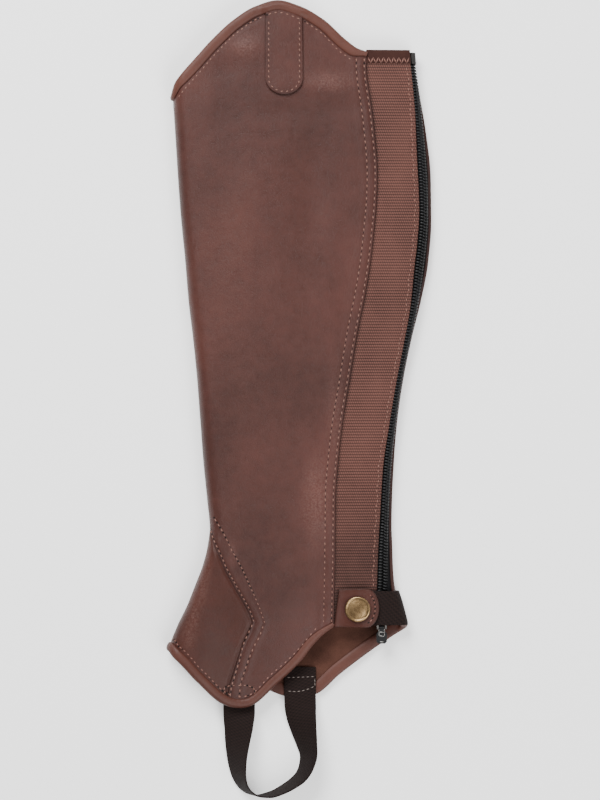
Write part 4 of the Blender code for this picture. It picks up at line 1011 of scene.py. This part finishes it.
def add_binding(name, edge, way, ends, outer_leg, inner_leg, at_fold=0.0, tab_rise=0.0):
    """Carries the section along the finished edge between two girths; way is 1 where the panel lies above.
    The outer leg puckers between its stitches and wanders a little."""
    section = binding_section(outer_leg, inner_leg)
    girths = np.linspace(*ends, BINDING_RINGS)
    heights = set_back(edge, way)(girths)
    run = unit(np.stack([np.gradient(girths), np.gradient(heights)], -1))
    inward = np.stack([-run[:, 1], run[:, 0]], -1)
    inward *= (np.sign(inward[:, 1]) * way)[:, None]
    share = leg_share(girths, ends[1], at_fold)[:, None]
    reach = np.where(section[:, 0] > 0, section[:, 0] * share, section[:, 0])
    y = heights[:, None] + inward[:, 1:] * reach
    q = girths[:, None] + inward[:, :1] * reach + slide(girths[:, None], heights[:, None], y)
    walked = walk(np.stack([girths, heights], -1))[:, None]
    pucker = PUCKER * np.sin(2 * math.pi * walked / PUCKER_PITCH) * np.clip(section[:, 0] / outer_leg, 0, 1)
    wander = WANDER * np.sin(walked / 9.0) * np.sin(walked / 5.3 + 1.0)
    rise = tab_rise * over_tab(girths)[:, None] * ease(section[:, 0] / 1.5)
    points = place(q, y, section[:, 1] + np.where(section[:, 1] > -0.5, pucker + wander + rise, 0))
    faces = [face[::-way] for face in tube_faces(*points.shape[:2])]
    return settle(add_piece(name, points, faces, [trim_leather]))


top_ends = (inner_q[-1, -1], outer_q[-1, -1])
foot_ends = (inner_q[0, -1], outer_q[0, -1])
top_binding = add_binding("top_edge_binding", rim, -1, top_ends, RIM_LEG, RIM_LEG, 0.45, 1.35)
foot_binding = add_binding("foot_edge_binding", hem, 1, foot_ends, HEM_OUTER_LEG, HEM_INNER_LEG)
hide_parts("top_binding")
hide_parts("hem_binding")
for strip, edge, ends in ((top_binding, rim, top_ends), (foot_binding, hem, foot_ends)):
    girths = np.linspace(*ends, 400)
    strip_length = float(walk(np.stack([girths, edge(girths)], -1))[-1]) * MM
    print(strip.name, "is cut", round(strip_length, 3), "m long")

# %% [markdown]
# ## Top tab and closing strap
# The small tab at the top helps to pull the gaiter on. At the ankle a leather tab with a snap closes over
# the zip, and dark elastic carries on from under it round the back.

# %% Top tab
TAB_TUCK, TAB_ROUND, TAB_WAVE = 2.6, 0.85, 0.22
half_tab, middle_tab = (TAB_RIGHT - TAB_LEFT) / 2, (TAB_RIGHT + TAB_LEFT) / 2


def tab_outline(angle, inset=0.0):
    """(x, bottom height) of the tab's round end at an angle from -90 to 90 degrees."""
    radius = half_tab - inset
    low = TAB_BOTTOM + inset + radius * TAB_ROUND * (1 - np.cos(angle))
    return middle_tab + radius * np.sin(angle), low


angle = np.linspace(-math.pi / 2, math.pi / 2, 41)
tab_x, tab_low = tab_outline(angle)
tab_high = set_back(rim, -1, BINDING_PAST + RIM_LEG - TAB_TUCK)(girth_at(tab_x, TAB_TOP_ABOUT))
rows = spread(40, 50.0)[:, None]
tab_y = tab_low + rows * (tab_high - tab_low)
tab_x = np.broadcast_to(tab_x, tab_y.shape)
tab_q = girth_at(tab_x, tab_y)
wave = TAB_WAVE * np.sin(math.pi * (tab_x - TAB_LEFT) / (TAB_RIGHT - TAB_LEFT))
tab_worn = bells(tab_x, tab_y, CREASED) + 0.2
top_tab = add_layer("top_pull_tab", tab_q, tab_y, TAB_CLEAR + TAB_THICK + wave, TAB_THICK, [panel_leather],
                    roll=0.7, marks={"worn": tab_worn})
settle(top_tab, ["top_tab"])
cloth_size(tab_q, tab_y, 1.0)[2]

# %% Closing strap
CLOSE_TOP, CLOSE_BOTTOM, CLOSE_TIP = -119.0, -143.0, 49.4
CLOSE_LEFT_TOP, CLOSE_LEFT_BOTTOM, CLOSE_LIFT, CLOSE_ROUND = 24.4, 21.3, 3.25, 0.62
BAND_TOP, BAND_BOTTOM, BAND_START, BAND_LEVEL, BAND_THICK = -120.3, -141.8, 43.0, 2.95, 1.1
BAND_TURN, BAND_SINKS = math.radians(128), 0.9
close_half, close_middle = (CLOSE_TOP - CLOSE_BOTTOM) / 2, (CLOSE_TOP + CLOSE_BOTTOM) / 2


def close_lift(x):
    """The tab climbs from the leather onto the elastic band under its round end."""
    return CLOSE_LIFT * ease((x - CLOSE_LEFT_TOP) / (BAND_START - 2 - CLOSE_LEFT_TOP))


def close_edge(angle, inset=0.0):
    """(x, height) of the tab's blunt round end at an angle from -90 to 90 degrees."""
    reach = (close_half - inset) * CLOSE_ROUND * (1 - np.cos(angle))
    return CLOSE_TIP - inset - reach, close_middle + (close_half - inset) * np.sin(angle)


angle = np.linspace(-math.pi / 2, math.pi / 2, 41)[:, None]
right, heights = close_edge(angle)
left = np.interp(heights, [CLOSE_BOTTOM, CLOSE_TOP], [CLOSE_LEFT_BOTTOM, CLOSE_LEFT_TOP])
close_x, close_y = across_from(left, right, spread(26, 27.0), heights)
close_q = girth_at(close_x, close_y)
close_tab = add_layer("closing_tab", close_q, close_y, close_lift(close_x) + LEATHER, LEATHER,
                      [instep_leather], roll=0.7)
settle(close_tab, ["closure_tab"])
cloth_size(close_q, close_y, LEATHER)[2]

levels = (BAND_BOTTOM + (BAND_TOP - BAND_BOTTOM) * spread(16, 21.5, 0.5))[:, None]
band_end, band_share = QUARTER + flat_run(levels) + BACK_RADIUS * BAND_TURN, spread(30, 36.0, 0.5)
band_q, band_y = across_from(girth_at(BAND_START, levels), band_end, band_share, levels)
band_uv = np.stack([band_q, band_y], -1) * MM
band_level = BAND_LEVEL - BAND_SINKS * ease((band_share - 0.3) / 0.25)
band = add_layer("closing_elastic", band_q, band_y, band_level, BAND_THICK, [dark_webbing],
                 roll=0.35, uv=band_uv)
settle(band, ["closure_elastic"])
band_flat = cloth_size(band_q, band_y, BAND_LEVEL - BAND_THICK / 2)[:2]
print("closing elastic", np.round(band_flat, 4), "metres")

# %% [markdown]
# ## Snap
# The cap is a shape turned on a lathe: a profile of radius and height swept round an axis. Its rim is
# rolled, with a fine groove inside it and a low plain dome. The axis leans with the leather tab.

# %% Snap cap
SNAP_X, SNAP_Y, SNAP_RADIUS = 36.0, -131.5, 8.0
SNAP_PROFILE = [
    (0.0, 0.45), (7.2, 0.45), (7.75, 0.62), (8.0, 1.0), (8.0, 1.4), (7.88, 1.78), (7.6, 2.06), (7.25, 2.18),
    (6.95, 2.14), (6.75, 1.98), (6.6, 1.82), (6.4, 1.76), (5.6, 1.88), (4.6, 2.04), (3.4, 2.2), (2.0, 2.32),
    (0.9, 2.38), (0.0, 2.4),
]


def turned(profile, base, axis, around):
    """Points and faces of a profile swept round an axis: base + height * axis + radius * (cos, sin)."""
    profile = np.array(profile)
    side = unit(np.cross([0.0, 1.0, 0.0], axis))
    other = np.cross(axis, side)
    angles = np.linspace(0, 2 * math.pi, around, endpoint=False)
    spoke = np.cos(angles)[:, None] * side + np.sin(angles)[:, None] * other
    rings = base + profile[1:-1, 1, None, None] * axis + profile[1:-1, 0, None, None] * spoke
    poles = [base + profile[0, 1] * axis, base + profile[-1, 1] * axis]
    points = np.concatenate([rings.reshape(-1, 3), poles])
    index, first, last = ring_index(rings.shape[0], around), len(points) - 2, len(points) - 1
    faces = grid_quads(index).tolist()
    faces += [[first, b, a] for a, b in zip(index[0, :-1].tolist(), index[0, 1:].tolist())]
    faces += [[last, a, b] for a, b in zip(index[-1, :-1].tolist(), index[-1, 1:].tolist())]
    return points, faces


def close_face(x):
    """Point on the leather tab's face beside the snap, in metres."""
    return place(girth_at(x, SNAP_Y), SNAP_Y, close_lift(x) + LEATHER)


lean = close_face(SNAP_X + SNAP_RADIUS) - close_face(SNAP_X - SNAP_RADIUS)
snap_axis = unit(np.array([-lean[2], 0.0, lean[0]]))
snap_points, snap_faces = turned(np.array(SNAP_PROFILE) * MM, close_face(SNAP_X), snap_axis, 72)
snap = add_piece("snap_cap_face", snap_points, snap_faces, [aged_brass])
settle(snap, ["snap_cap"])

# %% [markdown]
# ## Zip
# The zip is a coil zip: two rows of nylon turns that hook into each other, each sewn to a woven tape. One
# turn is drawn as a small rounded bar that lies across the row, and it is placed once for each tooth.

# %% Zip tapes
TAPE_FOOT, TAPE_HEAD, TAPE_SHORT, TAPE_CUT = -132.0, 209.9, ZIP_OPEN - 0.9, 0.0102
zip_middle = (CHAIN_START + CHAIN_END) / 2


def add_tape(name, start, end, short_end, node):
    """A woven tape along the zip, cut back beside both bindings; its weave follows its own length."""
    low = np.linspace(GUSSET_BOTTOM_Y, TAPE_FOOT - 0.6, 6)
    high = np.linspace(TAPE_HEAD + 0.6, GUSSET_TOP_Y - 1.5, 6)
    levels = np.concatenate([low, np.linspace(TAPE_FOOT, TAPE_HEAD, 170), high])[:, None]
    ends = np.full(levels.shape, end)
    ends[:6] = ends[-6:] = short_end
    share, edge = spread(14, end - start, 0.4), zip_girth(levels)
    q, y = across_from(edge + start, edge + ends, share, levels)
    uv = np.stack([np.broadcast_to(start + share * (end - start), q.shape), y], -1) * MM
    tape = add_layer(name, q, y, TAPE_LEVEL, TAPE, [zip_cloth], roll=0.3, uv=uv)
    settle(tape, [node])
    wide, long, area = cloth_size(q, y, TAPE_LEVEL - TAPE / 2)
    print(name, round(wide, 4), "by", round(long, 4), "metres")


add_tape("zip_tape_left", -TAPE_UNDERLAP, zip_middle - 0.15, zip_middle - 0.15, "zip_tape_outer")
add_tape("zip_tape_right", zip_middle + 0.15, ZIP_OPEN + TAPE_UNDERLAP, TAPE_SHORT, "zip_tape_inner")

# %% Zip teeth
TOOTH_PITCH, TOOTH_LONG, TOOTH_RADIUS, TOOTH_LEVEL = 1.9, 3.3, 0.72, -1.35
CHAIN_BOTTOM_Y, CHAIN_TOP_Y, TOOTH_PAST, TOOTH_SLANT = -129.6, 211.2, 0.1, 0.12
SIDE_STEP = 0.3


def bars_at(here, run, up, long, radius, rings=6, sides=8):
    """Many small rounded bars at once, each at its place in metres along run. At share s of its half length a
    bar is radius * sqrt(1 - s^4) thick, and its ends dip. Returns points (bar, ring, side, 3)."""
    side = np.cross(up, run)
    share = np.sin(np.linspace(-0.96, 0.96, rings) * math.pi / 2)
    thick = radius * np.sqrt(1 - share**4)
    around = np.linspace(0, 2 * math.pi, sides, endpoint=False)
    lift = thick[:, None] * np.sin(around) * 0.85 - 0.45 * radius * share[:, None] ** 2
    flat = thick[:, None] * np.cos(around)
    half = np.broadcast_to(long, len(here))[:, None] / 2 * MM
    points = here[:, None, None] + (half * share)[:, :, None, None] * run[:, None, None]
    return points + MM * (lift[..., None] * up[:, None, None] + flat[..., None] * side[:, None, None])


def bars(q, y, out, long, radius, turn):
    """Bars on the skin, each turned from the way of the girth towards the way of the leg by turn."""
    along_girth = unit(place(q + SIDE_STEP, y, out) - place(q - SIDE_STEP, y, out))
    along_leg = unit(place(q, y + SIDE_STEP, out) - place(q, y - SIDE_STEP, out))
    turn = np.broadcast_to(turn, q.shape)[..., None]
    up = unit(np.cross(along_girth, along_leg))
    return bars_at(place(q, y, out), np.cos(turn) * along_girth + np.sin(turn) * along_leg, up, long, radius)


def bar_faces(count, rings, sides):
    """Quads of every bar's side and two fans of quads for its ends, as one array."""
    index = ring_index(rings, sides)
    body = grid_quads(index)[:, ::-1]
    caps = []
    for ring, way in ((index[0, :-1], 1), (index[-1, :-1], -1)):
        for i in range(0, sides - 2, 2):
            quad = [ring[0], ring[i + 1], ring[i + 2], ring[(i + 3) % sides]]
            caps.append(quad[::way])
    one = np.concatenate([body, np.array(caps)])
    return (one[None] + (np.arange(count) * rings * sides)[:, None, None]).reshape(-1, 4)


def add_bars(name, points, finishes):
    """One object from all the bars, with the length and turn of each as its cloth coordinates."""
    count, rings, sides = points.shape[:3]
    long, round_it = np.meshgrid(np.linspace(0, 1, rings), np.linspace(0, 1, sides), indexing="ij")
    uv = np.broadcast_to(np.stack([long, round_it], -1), (count, rings, sides, 2))
    return add_piece(name, points, bar_faces(count, rings, sides), finishes, uv=uv.reshape(-1, 2))


tooth_y = np.arange(CHAIN_BOTTOM_Y, CHAIN_TOP_Y, TOOTH_PITCH)
left_q = zip_girth(tooth_y) + CHAIN_START + TOOTH_LONG / 2 - TOOTH_PAST
right_y = tooth_y + TOOTH_PITCH / 2
right_q = zip_girth(right_y) + CHAIN_END - TOOTH_LONG / 2 + TOOTH_PAST
both_q, both_y = np.concatenate([left_q, right_q]), np.concatenate([tooth_y, right_y])
slant = np.concatenate([np.full(len(left_q), TOOTH_SLANT), np.full(len(right_q), -TOOTH_SLANT)])
teeth_points = bars(both_q, both_y, TOOTH_LEVEL, TOOTH_LONG, TOOTH_RADIUS, slant)
teeth = add_bars("zip_teeth", teeth_points, [coil_nylon])
settle(teeth, ["zip_chain"])
print("teeth", len(both_q))

# %% [markdown]
# ## Stitches
# Each row of sewing is a path on the skin, cut into equal steps. A stitch is a short bar of thread whose
# ends dive into the leather, and between two stitches there is a needle hole. They are small, so a few
# faces each are enough.

# %% Stitch helpers
SEWING = {"pale": [], "brown": [], "grey": []}
HOLES = []
STITCH, STITCH_RADIUS, HOLE_RADIUS = 2.2, 0.4, 0.58
STITCH_LIFT, LENGTH_VARIES, TURN_VARIES = 0.08, 0.05, 0.06


def along_path(q, y, pitch, phase=0.5):
    """(girth, height, turn) at even steps along a path on the skin, by the length walked."""
    walked = walk(np.stack([q, y], -1))
    count = max(1, int(walked[-1] / pitch))
    at = (np.arange(count) + phase) * walked[-1] / count
    turn = np.interp(at, walked, np.unwrap(np.arctan2(np.gradient(y), np.gradient(q))))
    return np.interp(at, walked, q), np.interp(at, walked, y), turn


def sew(colour, q, y, out=0.0, pitch=3.6, long=STITCH, radius=STITCH_RADIUS, slant=0.0, holes=True):
    """Adds a row of stitches along a path and, in leather, a needle hole between each two."""
    fine = np.linspace(0, 1, 1500)
    share = np.linspace(0, 1, len(q))
    q, y = np.interp(fine, share, q), np.interp(fine, share, y)
    at_q, at_y, turn = along_path(q, y, pitch)
    lengths = long * (1 + rng.normal(0, LENGTH_VARIES, len(turn)))
    turn = turn + slant + rng.normal(0, TURN_VARIES, len(turn))
    SEWING[colour].append(bars(at_q, at_y, out + STITCH_LIFT, lengths, radius, turn))
    if holes:
        hole_q, hole_y, _ = along_path(q, y, pitch, 0.0)
        HOLES.append((hole_q, hole_y, np.full(len(hole_q), out)))


def on_edge(edge, way, distance, from_q, to_q, count=300):
    """(girths, heights) of a line at a distance inside a finished edge."""
    girths = np.linspace(from_q, to_q, count)
    return girths, set_back(edge, way, distance)(girths)


# %% Rows on the leather
seam_y = np.linspace(-141.0, 216.0, 500)
seam_q = gusset_seam_girth(seam_y)
for row in STITCH_ROWS:
    sew("pale", seam_q - row, seam_y, float(seam_relief(np.array(row))), pitch=3.95)

RIM_ROW, HEM_ROW = BINDING_PAST + RIM_LEG + ROW_PAST, BINDING_PAST + HEM_OUTER_LEG + ROW_PAST
tab_start, tab_end = (float(girth_at(side, TAB_TOP_ABOUT)) for side in (TAB_LEFT, TAB_RIGHT))
TAB_FACE, SUNK = TAB_CLEAR + TAB_THICK, -0.2
TOP_ROWS = [(8.0, tab_start - 1.5, SUNK), (tab_start + 1.0, tab_end - 1.0, TAB_FACE + 0.05),
            (tab_end + 1.5, top_ends[1] - 3.0, SUNK), (top_ends[0] + 3.0, -8.0, SUNK)]
for start, end, level in TOP_ROWS:
    sew("pale", *on_edge(rim, -1, RIM_ROW, start, end), level, pitch=3.4, long=2.1, radius=0.36)
for start, end in ((2.0, foot_ends[1] - 6.0), (foot_ends[0] + 3.0, -2.0)):
    sew("brown", *on_edge(hem, 1, HEM_ROW, start, end), SUNK, pitch=3.5, long=2.2, radius=0.38)

# %% Rows beside the instep seam
NEAR_ROW = [(-56.2, -81.5), (-46.6, -105.2), (-31.2, -133.0), (-29.0, -139.5), (-38.0, -164.0),
            (-43.2, -180.8), (-44.2, -187.5)]
FAR_ROW = [(-54.0, -74.0), (-43.0, -94.5), (-25.0, -132.0), (-22.3, -139.9), (-25.6, -149.3),
           (-37.2, -177.7), (-38.6, -188.6)]
for table in (NEAR_ROW, FAR_ROW):
    path_x, path_y = np.array(table).T
    sew("pale", girth_at(path_x, path_y), path_y, 0.1, pitch=3.6)
    sew("pale", -girth_at(path_x, path_y), path_y + 1.0, -0.42, pitch=3.6, holes=False)

# %% Box stitch over the strap's near end, and the tabs' rows
BOX = [(-44.5, -187.6), (-47.6, -186.6), (-48.4, -183.8), (-47.4, -180.9), (-44.0, -179.8), (-33.0, -179.8),
       (-29.2, -181.4), (-28.2, -184.6), (-29.6, -187.6), (-34.0, -189.4), (-39.0, -190.2), (-44.5, -187.6)]
box_x, box_y = np.array(BOX).T
sew("pale", girth_at(box_x, box_y), box_y, 0.1, pitch=3.2, long=2.0, radius=0.34)

TAB_INSET = 2.0
angle = np.linspace(-math.pi / 2, math.pi / 2, 60)
arc_x, arc_y = tab_outline(angle, TAB_INSET)
side_y = np.linspace(238.6, arc_y[0], 40)
path_x = np.concatenate([np.full(40, arc_x[0]), arc_x, np.full(40, arc_x[-1])])
path_y = np.concatenate([side_y, arc_y, side_y[::-1]])
sew("pale", girth_at(path_x, path_y), path_y, TAB_FACE, pitch=3.3, long=2.1, radius=0.34, slant=0.18)

angle = np.linspace(-1.25, 1.25, 60)
arc_x, arc_y = close_edge(angle, 2.6)
sew("brown", girth_at(arc_x, arc_y), arc_y, CLOSE_LIFT + LEATHER - 0.05, pitch=2.9, long=1.9, radius=0.32)

# %% Rows on the elastic
edge_y = np.linspace(-118.0, 210.0, 500)
wave_q = zip_girth(edge_y) - 2.6 + 0.4 * np.sin(edge_y / 2.1)
sew("brown", wave_q, edge_y, GUSSET_LEVEL + 0.05, pitch=3.2, long=2.5, radius=0.36, holes=False)

ZIGZAG_Y, ZIGZAG_HALF, ZIGZAG_LEGS = 213.9, 1.9, 16
zigzag_ends = float(gusset_seam_girth(ZIGZAG_Y)) + 0.8, float(zip_girth(ZIGZAG_Y)) - 1.0
corner_q = np.linspace(*zigzag_ends, ZIGZAG_LEGS + 1)
corner_y = ZIGZAG_Y + ZIGZAG_HALF * (-1.0) ** np.arange(ZIGZAG_LEGS + 1)
leg_q, leg_y = (corner_q[1:] + corner_q[:-1]) / 2, (corner_y[1:] + corner_y[:-1]) / 2
leg_long = np.hypot(np.diff(corner_q), np.diff(corner_y)) * 0.98
leg_turn = np.arctan2(np.diff(corner_y), np.diff(corner_q))
SEWING["brown"].append(bars(leg_q, leg_y, 0.3, leg_long, 0.32, leg_turn))

# %% [markdown]
# ## Stirrup strap
# Elastic webbing goes under the boot. It leaves the hem flat, turns on edge as it swings round and comes
# back flat inside the far side. A table holds its middle line and turn; a rounded flat section is carried
# along it.

# %% Stirrup strap
STRAP_WIDTH, STRAP_RINGS, STRAP_AROUND, STRAP_PITCH = 20.0, 240, 40, 2.7
FLATNESS, EDGE_ROUND, GREY_STITCH, GREY_RADIUS = 0.35, 0.6, 2.3, 0.26
# Place across, height, level of its middle, turn about its own run in degrees
STRAP = [
    (-38.4, -179.5, 8.3, -3), (-38.4, -191.5, 7.6, -3), (-38.4, -196.0, 7.5, 0), (-38.5, -201.0, 8.2, 12),
    (-38.7, -206.6, 9.2, 25), (-39.4, -215.5, 9.9, 38), (-39.7, -224.3, 10.4, 49),
    (-39.1, -233.1, 10.7, 58), (-36.9, -241.3, 10.9, 68), (-32.1, -247.0, 10.9, 78),
    (-25.8, -249.4, 10.9, 88), (-18.3, -248.6, 10.8, 97), (-11.3, -245.7, 10.7, 102),
    (-4.4, -241.6, 10.6, 106), (0.9, -236.9, 10.4, 111), (4.1, -230.6, 10.2, 117), (5.4, -223.7, 9.8, 123),
    (4.1, -215.5, 9.1, 133), (2.2, -206.6, 8.0, 147), (0.6, -197.8, 6.9, 164), (0.1, -191.0, 6.0, 178),
    (0.0, -183.0, 5.95, 180), (0.0, -178.5, 5.75, 180), (0.0, -172.0, 4.6, 180), (0.0, -168.7, 4.3, 180),
]
rows = np.array(STRAP, float)
distance = walk(rows[:, :3])
steps = np.linspace(0, distance[-1], STRAP_RINGS)
route = np.stack([smooth_through(list(zip(distance, rows[:, i])))(steps) for i in range(4)], -1)
middle, turn = route[:, :3], np.radians(route[:, 3])
run = unit(np.gradient(middle, axis=0))
level = unit(np.cross(run, [0.0, 0.0, 1.0]))
upward = np.cross(level, run)
width = np.cos(turn)[:, None] * level - np.sin(turn)[:, None] * upward
face = np.cross(width, run)
around = np.linspace(0, 2 * math.pi, STRAP_AROUND, endpoint=False)
section_a = np.sign(np.cos(around)) * np.abs(np.cos(around)) ** FLATNESS
section_b = np.sign(np.sin(around)) * np.abs(np.sin(around)) ** EDGE_ROUND
strap_points = middle[:, None] + section_a[:, None] * STRAP_WIDTH / 2 * width[:, None]
strap_points = strap_points + section_b[:, None] * WEBBING / 2 * face[:, None]
strap_uv = np.stack(np.broadcast_arrays(section_a * STRAP_WIDTH / 2, steps[:, None]), -1) * MM
strap_faces = tube_faces(STRAP_RINGS, STRAP_AROUND)
strap = add_piece("stirrup_webbing", (strap_points + CENTRE_SHIFT) * MM, strap_faces, [dark_webbing],
                  uv=strap_uv)
settle(strap, ["stirrup_strap"])
print("strap length", round(distance[-1]), "mm")

# Rows across the strap's far end: place across and height at the start, bend down in the middle, and the end
STRAP_ROWS = [((-8.6, -175.2), -0.1, (9.3, -174.6)), ((-8.0, -183.6), -1.6, (9.2, -180.6)),
              ((9.3, -176.0), 0.0, (9.4, -180.4))]
for (x1, y1), bend, (x2, y2) in STRAP_ROWS:
    count = max(2, int(math.hypot(x2 - x1, y2 - y1) / STRAP_PITCH))
    share = (np.arange(count) + 0.5) / count
    at_x, at_y = x1 + share * (x2 - x1), y1 + share * (y2 - y1) + bend * 4 * share * (1 - share)
    at_z = np.interp(at_y, rows[-5:, 1], rows[-5:, 2]) + WEBBING / 2 + 0.05
    run_way = unit(np.stack([np.gradient(at_x), np.gradient(at_y), 0 * at_x], -1))
    up_way = np.broadcast_to([0.0, 0.0, 1.0], run_way.shape)
    here = (np.stack([at_x, at_y, at_z], -1) + CENTRE_SHIFT) * MM
    SEWING["grey"].append(bars_at(here, run_way, up_way, GREY_STITCH, GREY_RADIUS))

# %% [markdown]
# ## Gather the sewing
# All stitches of one thread become one piece. The needle holes are painted shade: small dark discs just above
# the leather.

# %% Thread and holes
print({colour: sum(len(row) for row in rows) for colour, rows in SEWING.items()}, "stitches")
for colour, finish in (("pale", pale_thread), ("brown", brown_thread), ("grey", grey_thread)):
    piece = add_bars(f"{colour}_stitches", np.concatenate(SEWING[colour]), [finish])
    settle(piece)

hole_q, hole_y, hole_out = (np.concatenate(part) for part in zip(*HOLES))
HOLE_LIFT, HOLE_DEEP, HOLE_SIDES = 0.05, 0.3, 8
hole_out += HOLE_LIFT
centre = place(hole_q, hole_y, hole_out)
one_way = (place(hole_q + SIDE_STEP, hole_y, hole_out) - centre) * HOLE_RADIUS / SIDE_STEP
up_way = (place(hole_q, hole_y + SIDE_STEP, hole_out) - centre) * HOLE_RADIUS / SIDE_STEP
angles = np.linspace(0, 2 * math.pi, HOLE_SIDES, endpoint=False)
cosines, sines = np.cos(angles)[:, None], np.sin(angles)[:, None]
ring = centre[:, None] + cosines * one_way[:, None] + sines * up_way[:, None]
low_ring = ring - HOLE_DEEP * MM * unit(np.cross(one_way, up_way))[:, None]
points = np.concatenate([ring, low_ring], 1)
top_face = np.array([[0, 1, 2, 3], [0, 3, 4, 7], [7, 4, 5, 6]])
after = [(i + 1) % HOLE_SIDES for i in range(HOLE_SIDES)]
sides = np.array([[b, a, a + HOLE_SIDES, b + HOLE_SIDES] for a, b in enumerate(after)])
one = np.concatenate([top_face, top_face[:, ::-1] + HOLE_SIDES, sides])
faces = (one[None] + (np.arange(len(centre)) * 2 * HOLE_SIDES)[:, None, None]).reshape(-1, 4)
holes = add_piece("needle_hole_shade", points.reshape(-1, 3), faces, [hole_shade_finish])
settle(holes)
print("holes", len(centre))

# %% [markdown]
# ## Hard pieces that stay
# The slider, its pull, the retainer and the snap's socket are already the right shape, so each only gets a
# finish.

# %% Finishes for the kept solids
KEPT = {"zip_slider": grey_metal, "zip_pull": coil_nylon, "zip_retainer": dull_metal,
        "snap_socket": aged_brass}
for node_name, finish in KEPT.items():
    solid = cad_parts[node_name]
    for material_slot in solid.material_slots:
        material_slot.material = finish
print("kept", list(KEPT))

# %% [markdown]
# ## Loop on the pull
# The real pull has a thin bright wire loop over its upper half and a raised lip at its tip. Five small bars
# in the shape of a ladder make them. They ride on the pull, so they swing with it.

# %% Pull loop
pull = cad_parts["zip_pull"]
corners = np.empty(len(pull.data.vertices) * 3)
pull.data.vertices.foreach_get("co", corners)
to_world = np.array(pull.matrix_world)
corners = (corners.reshape(-1, 3) @ to_world[:3, :3].T + to_world[:3, 3]) / MM
pull_low, pull_high = corners.min(axis=0), corners.max(axis=0)
PULL_THICK, WIRE_RADIUS = 1.5, 0.42
pull_x, pull_tip = (pull_low[0] + pull_high[0]) / 2, pull_low[1]
pull_face = (pull_low[2] + pull_high[2] + PULL_THICK) / 2
# Place across from the middle, height above the tip, length, and 1 where the bar runs across
LADDER = [(-1.7, 7.0, 5.0, 0), (1.7, 7.0, 5.0, 0), (0.0, 4.7, 3.8, 1), (0.0, 7.2, 3.8, 1), (0.0, 1.1, 3.0, 1)]
across, above, long, flat_way = np.array(LADDER).T
here = np.stack([pull_x + across, pull_tip + above, np.full_like(across, pull_face)], -1) * MM
run_way = np.stack([flat_way, 1 - flat_way, 0 * flat_way], -1)
up_way = np.broadcast_to([0.0, 0.0, 1.0], run_way.shape)
loop = add_bars("pull_loop", bars_at(here, run_way, up_way, long, WIRE_RADIUS), [bright_metal])
settle(loop, body="pull_tab")
print("pull", pull_low.round(2), "to", pull_high.round(2))

# %% [markdown]
# ## Table, light and camera
# The table is a plain pale sheet. The light is a large soft panel from beyond the top, a little to the
# left, a weaker one from the lower right and an even white surround. The camera looks straight down.

# %% Stage
FLOOR_HALF, PALE, WHITE = 3.0, (0.93, 0.93, 0.93, 1.0), (1.0, 1.0, 1.0, 1.0)
floor_finish, tree, shader = new_finish("pale table")
feed(tree, shader, {"Base Color": PALE, "Roughness": 0.9, "Emission Color": WHITE, "Emission Strength": 0.5})
corners = np.array([(-1, -1, 0), (1, -1, 0), (1, 1, 0), (-1, 1, 0)]) * FLOOR_HALF
floor = add_piece("floor", corners, [[0, 1, 2, 3]], [floor_finish])


def soft_light(name, place_at, size, power):
    """A square panel light at a place, facing the middle of the table."""
    lamp = bpy.data.lights.new(name, "AREA")
    lamp.shape, lamp.size, lamp.energy = "SQUARE", size, power
    holder = bpy.data.objects.new(name, lamp)
    holder.location = place_at
    x, y, z = place_at
    holder.rotation_euler = (math.atan2(math.hypot(x, y), z), 0.0, math.atan2(-y, -x) - math.pi / 2)
    bpy.context.scene.collection.objects.link(holder)


soft_light("key", (-0.5, 1.05, 1.25), 0.9, 50.0)
soft_light("fill", (0.7, -0.9, 1.5), 1.2, 34.0)
world = bpy.data.worlds.new("white surround")
world.use_nodes = True
feed(world.node_tree, world.node_tree.nodes["Background"], {"Color": WHITE, "Strength": 0.4})
bpy.context.scene.world = world

LENS, PHOTO_HEIGHT, SENSOR, MIDDLE_LEVEL = 200.0, 0.504, 36.0, 0.012
camera_data = bpy.data.cameras.new("camera")
camera_data.lens, camera_data.sensor_width = LENS, SENSOR
camera = bpy.data.objects.new("camera", camera_data)
camera.location = (CENTRE_SHIFT[0] * MM, CENTRE_SHIFT[1] * MM, MIDDLE_LEVEL + PHOTO_HEIGHT * LENS / SENSOR)
bpy.context.scene.collection.objects.link(camera)
bpy.context.scene.camera = camera
print("camera height", round(camera.location.z, 3))
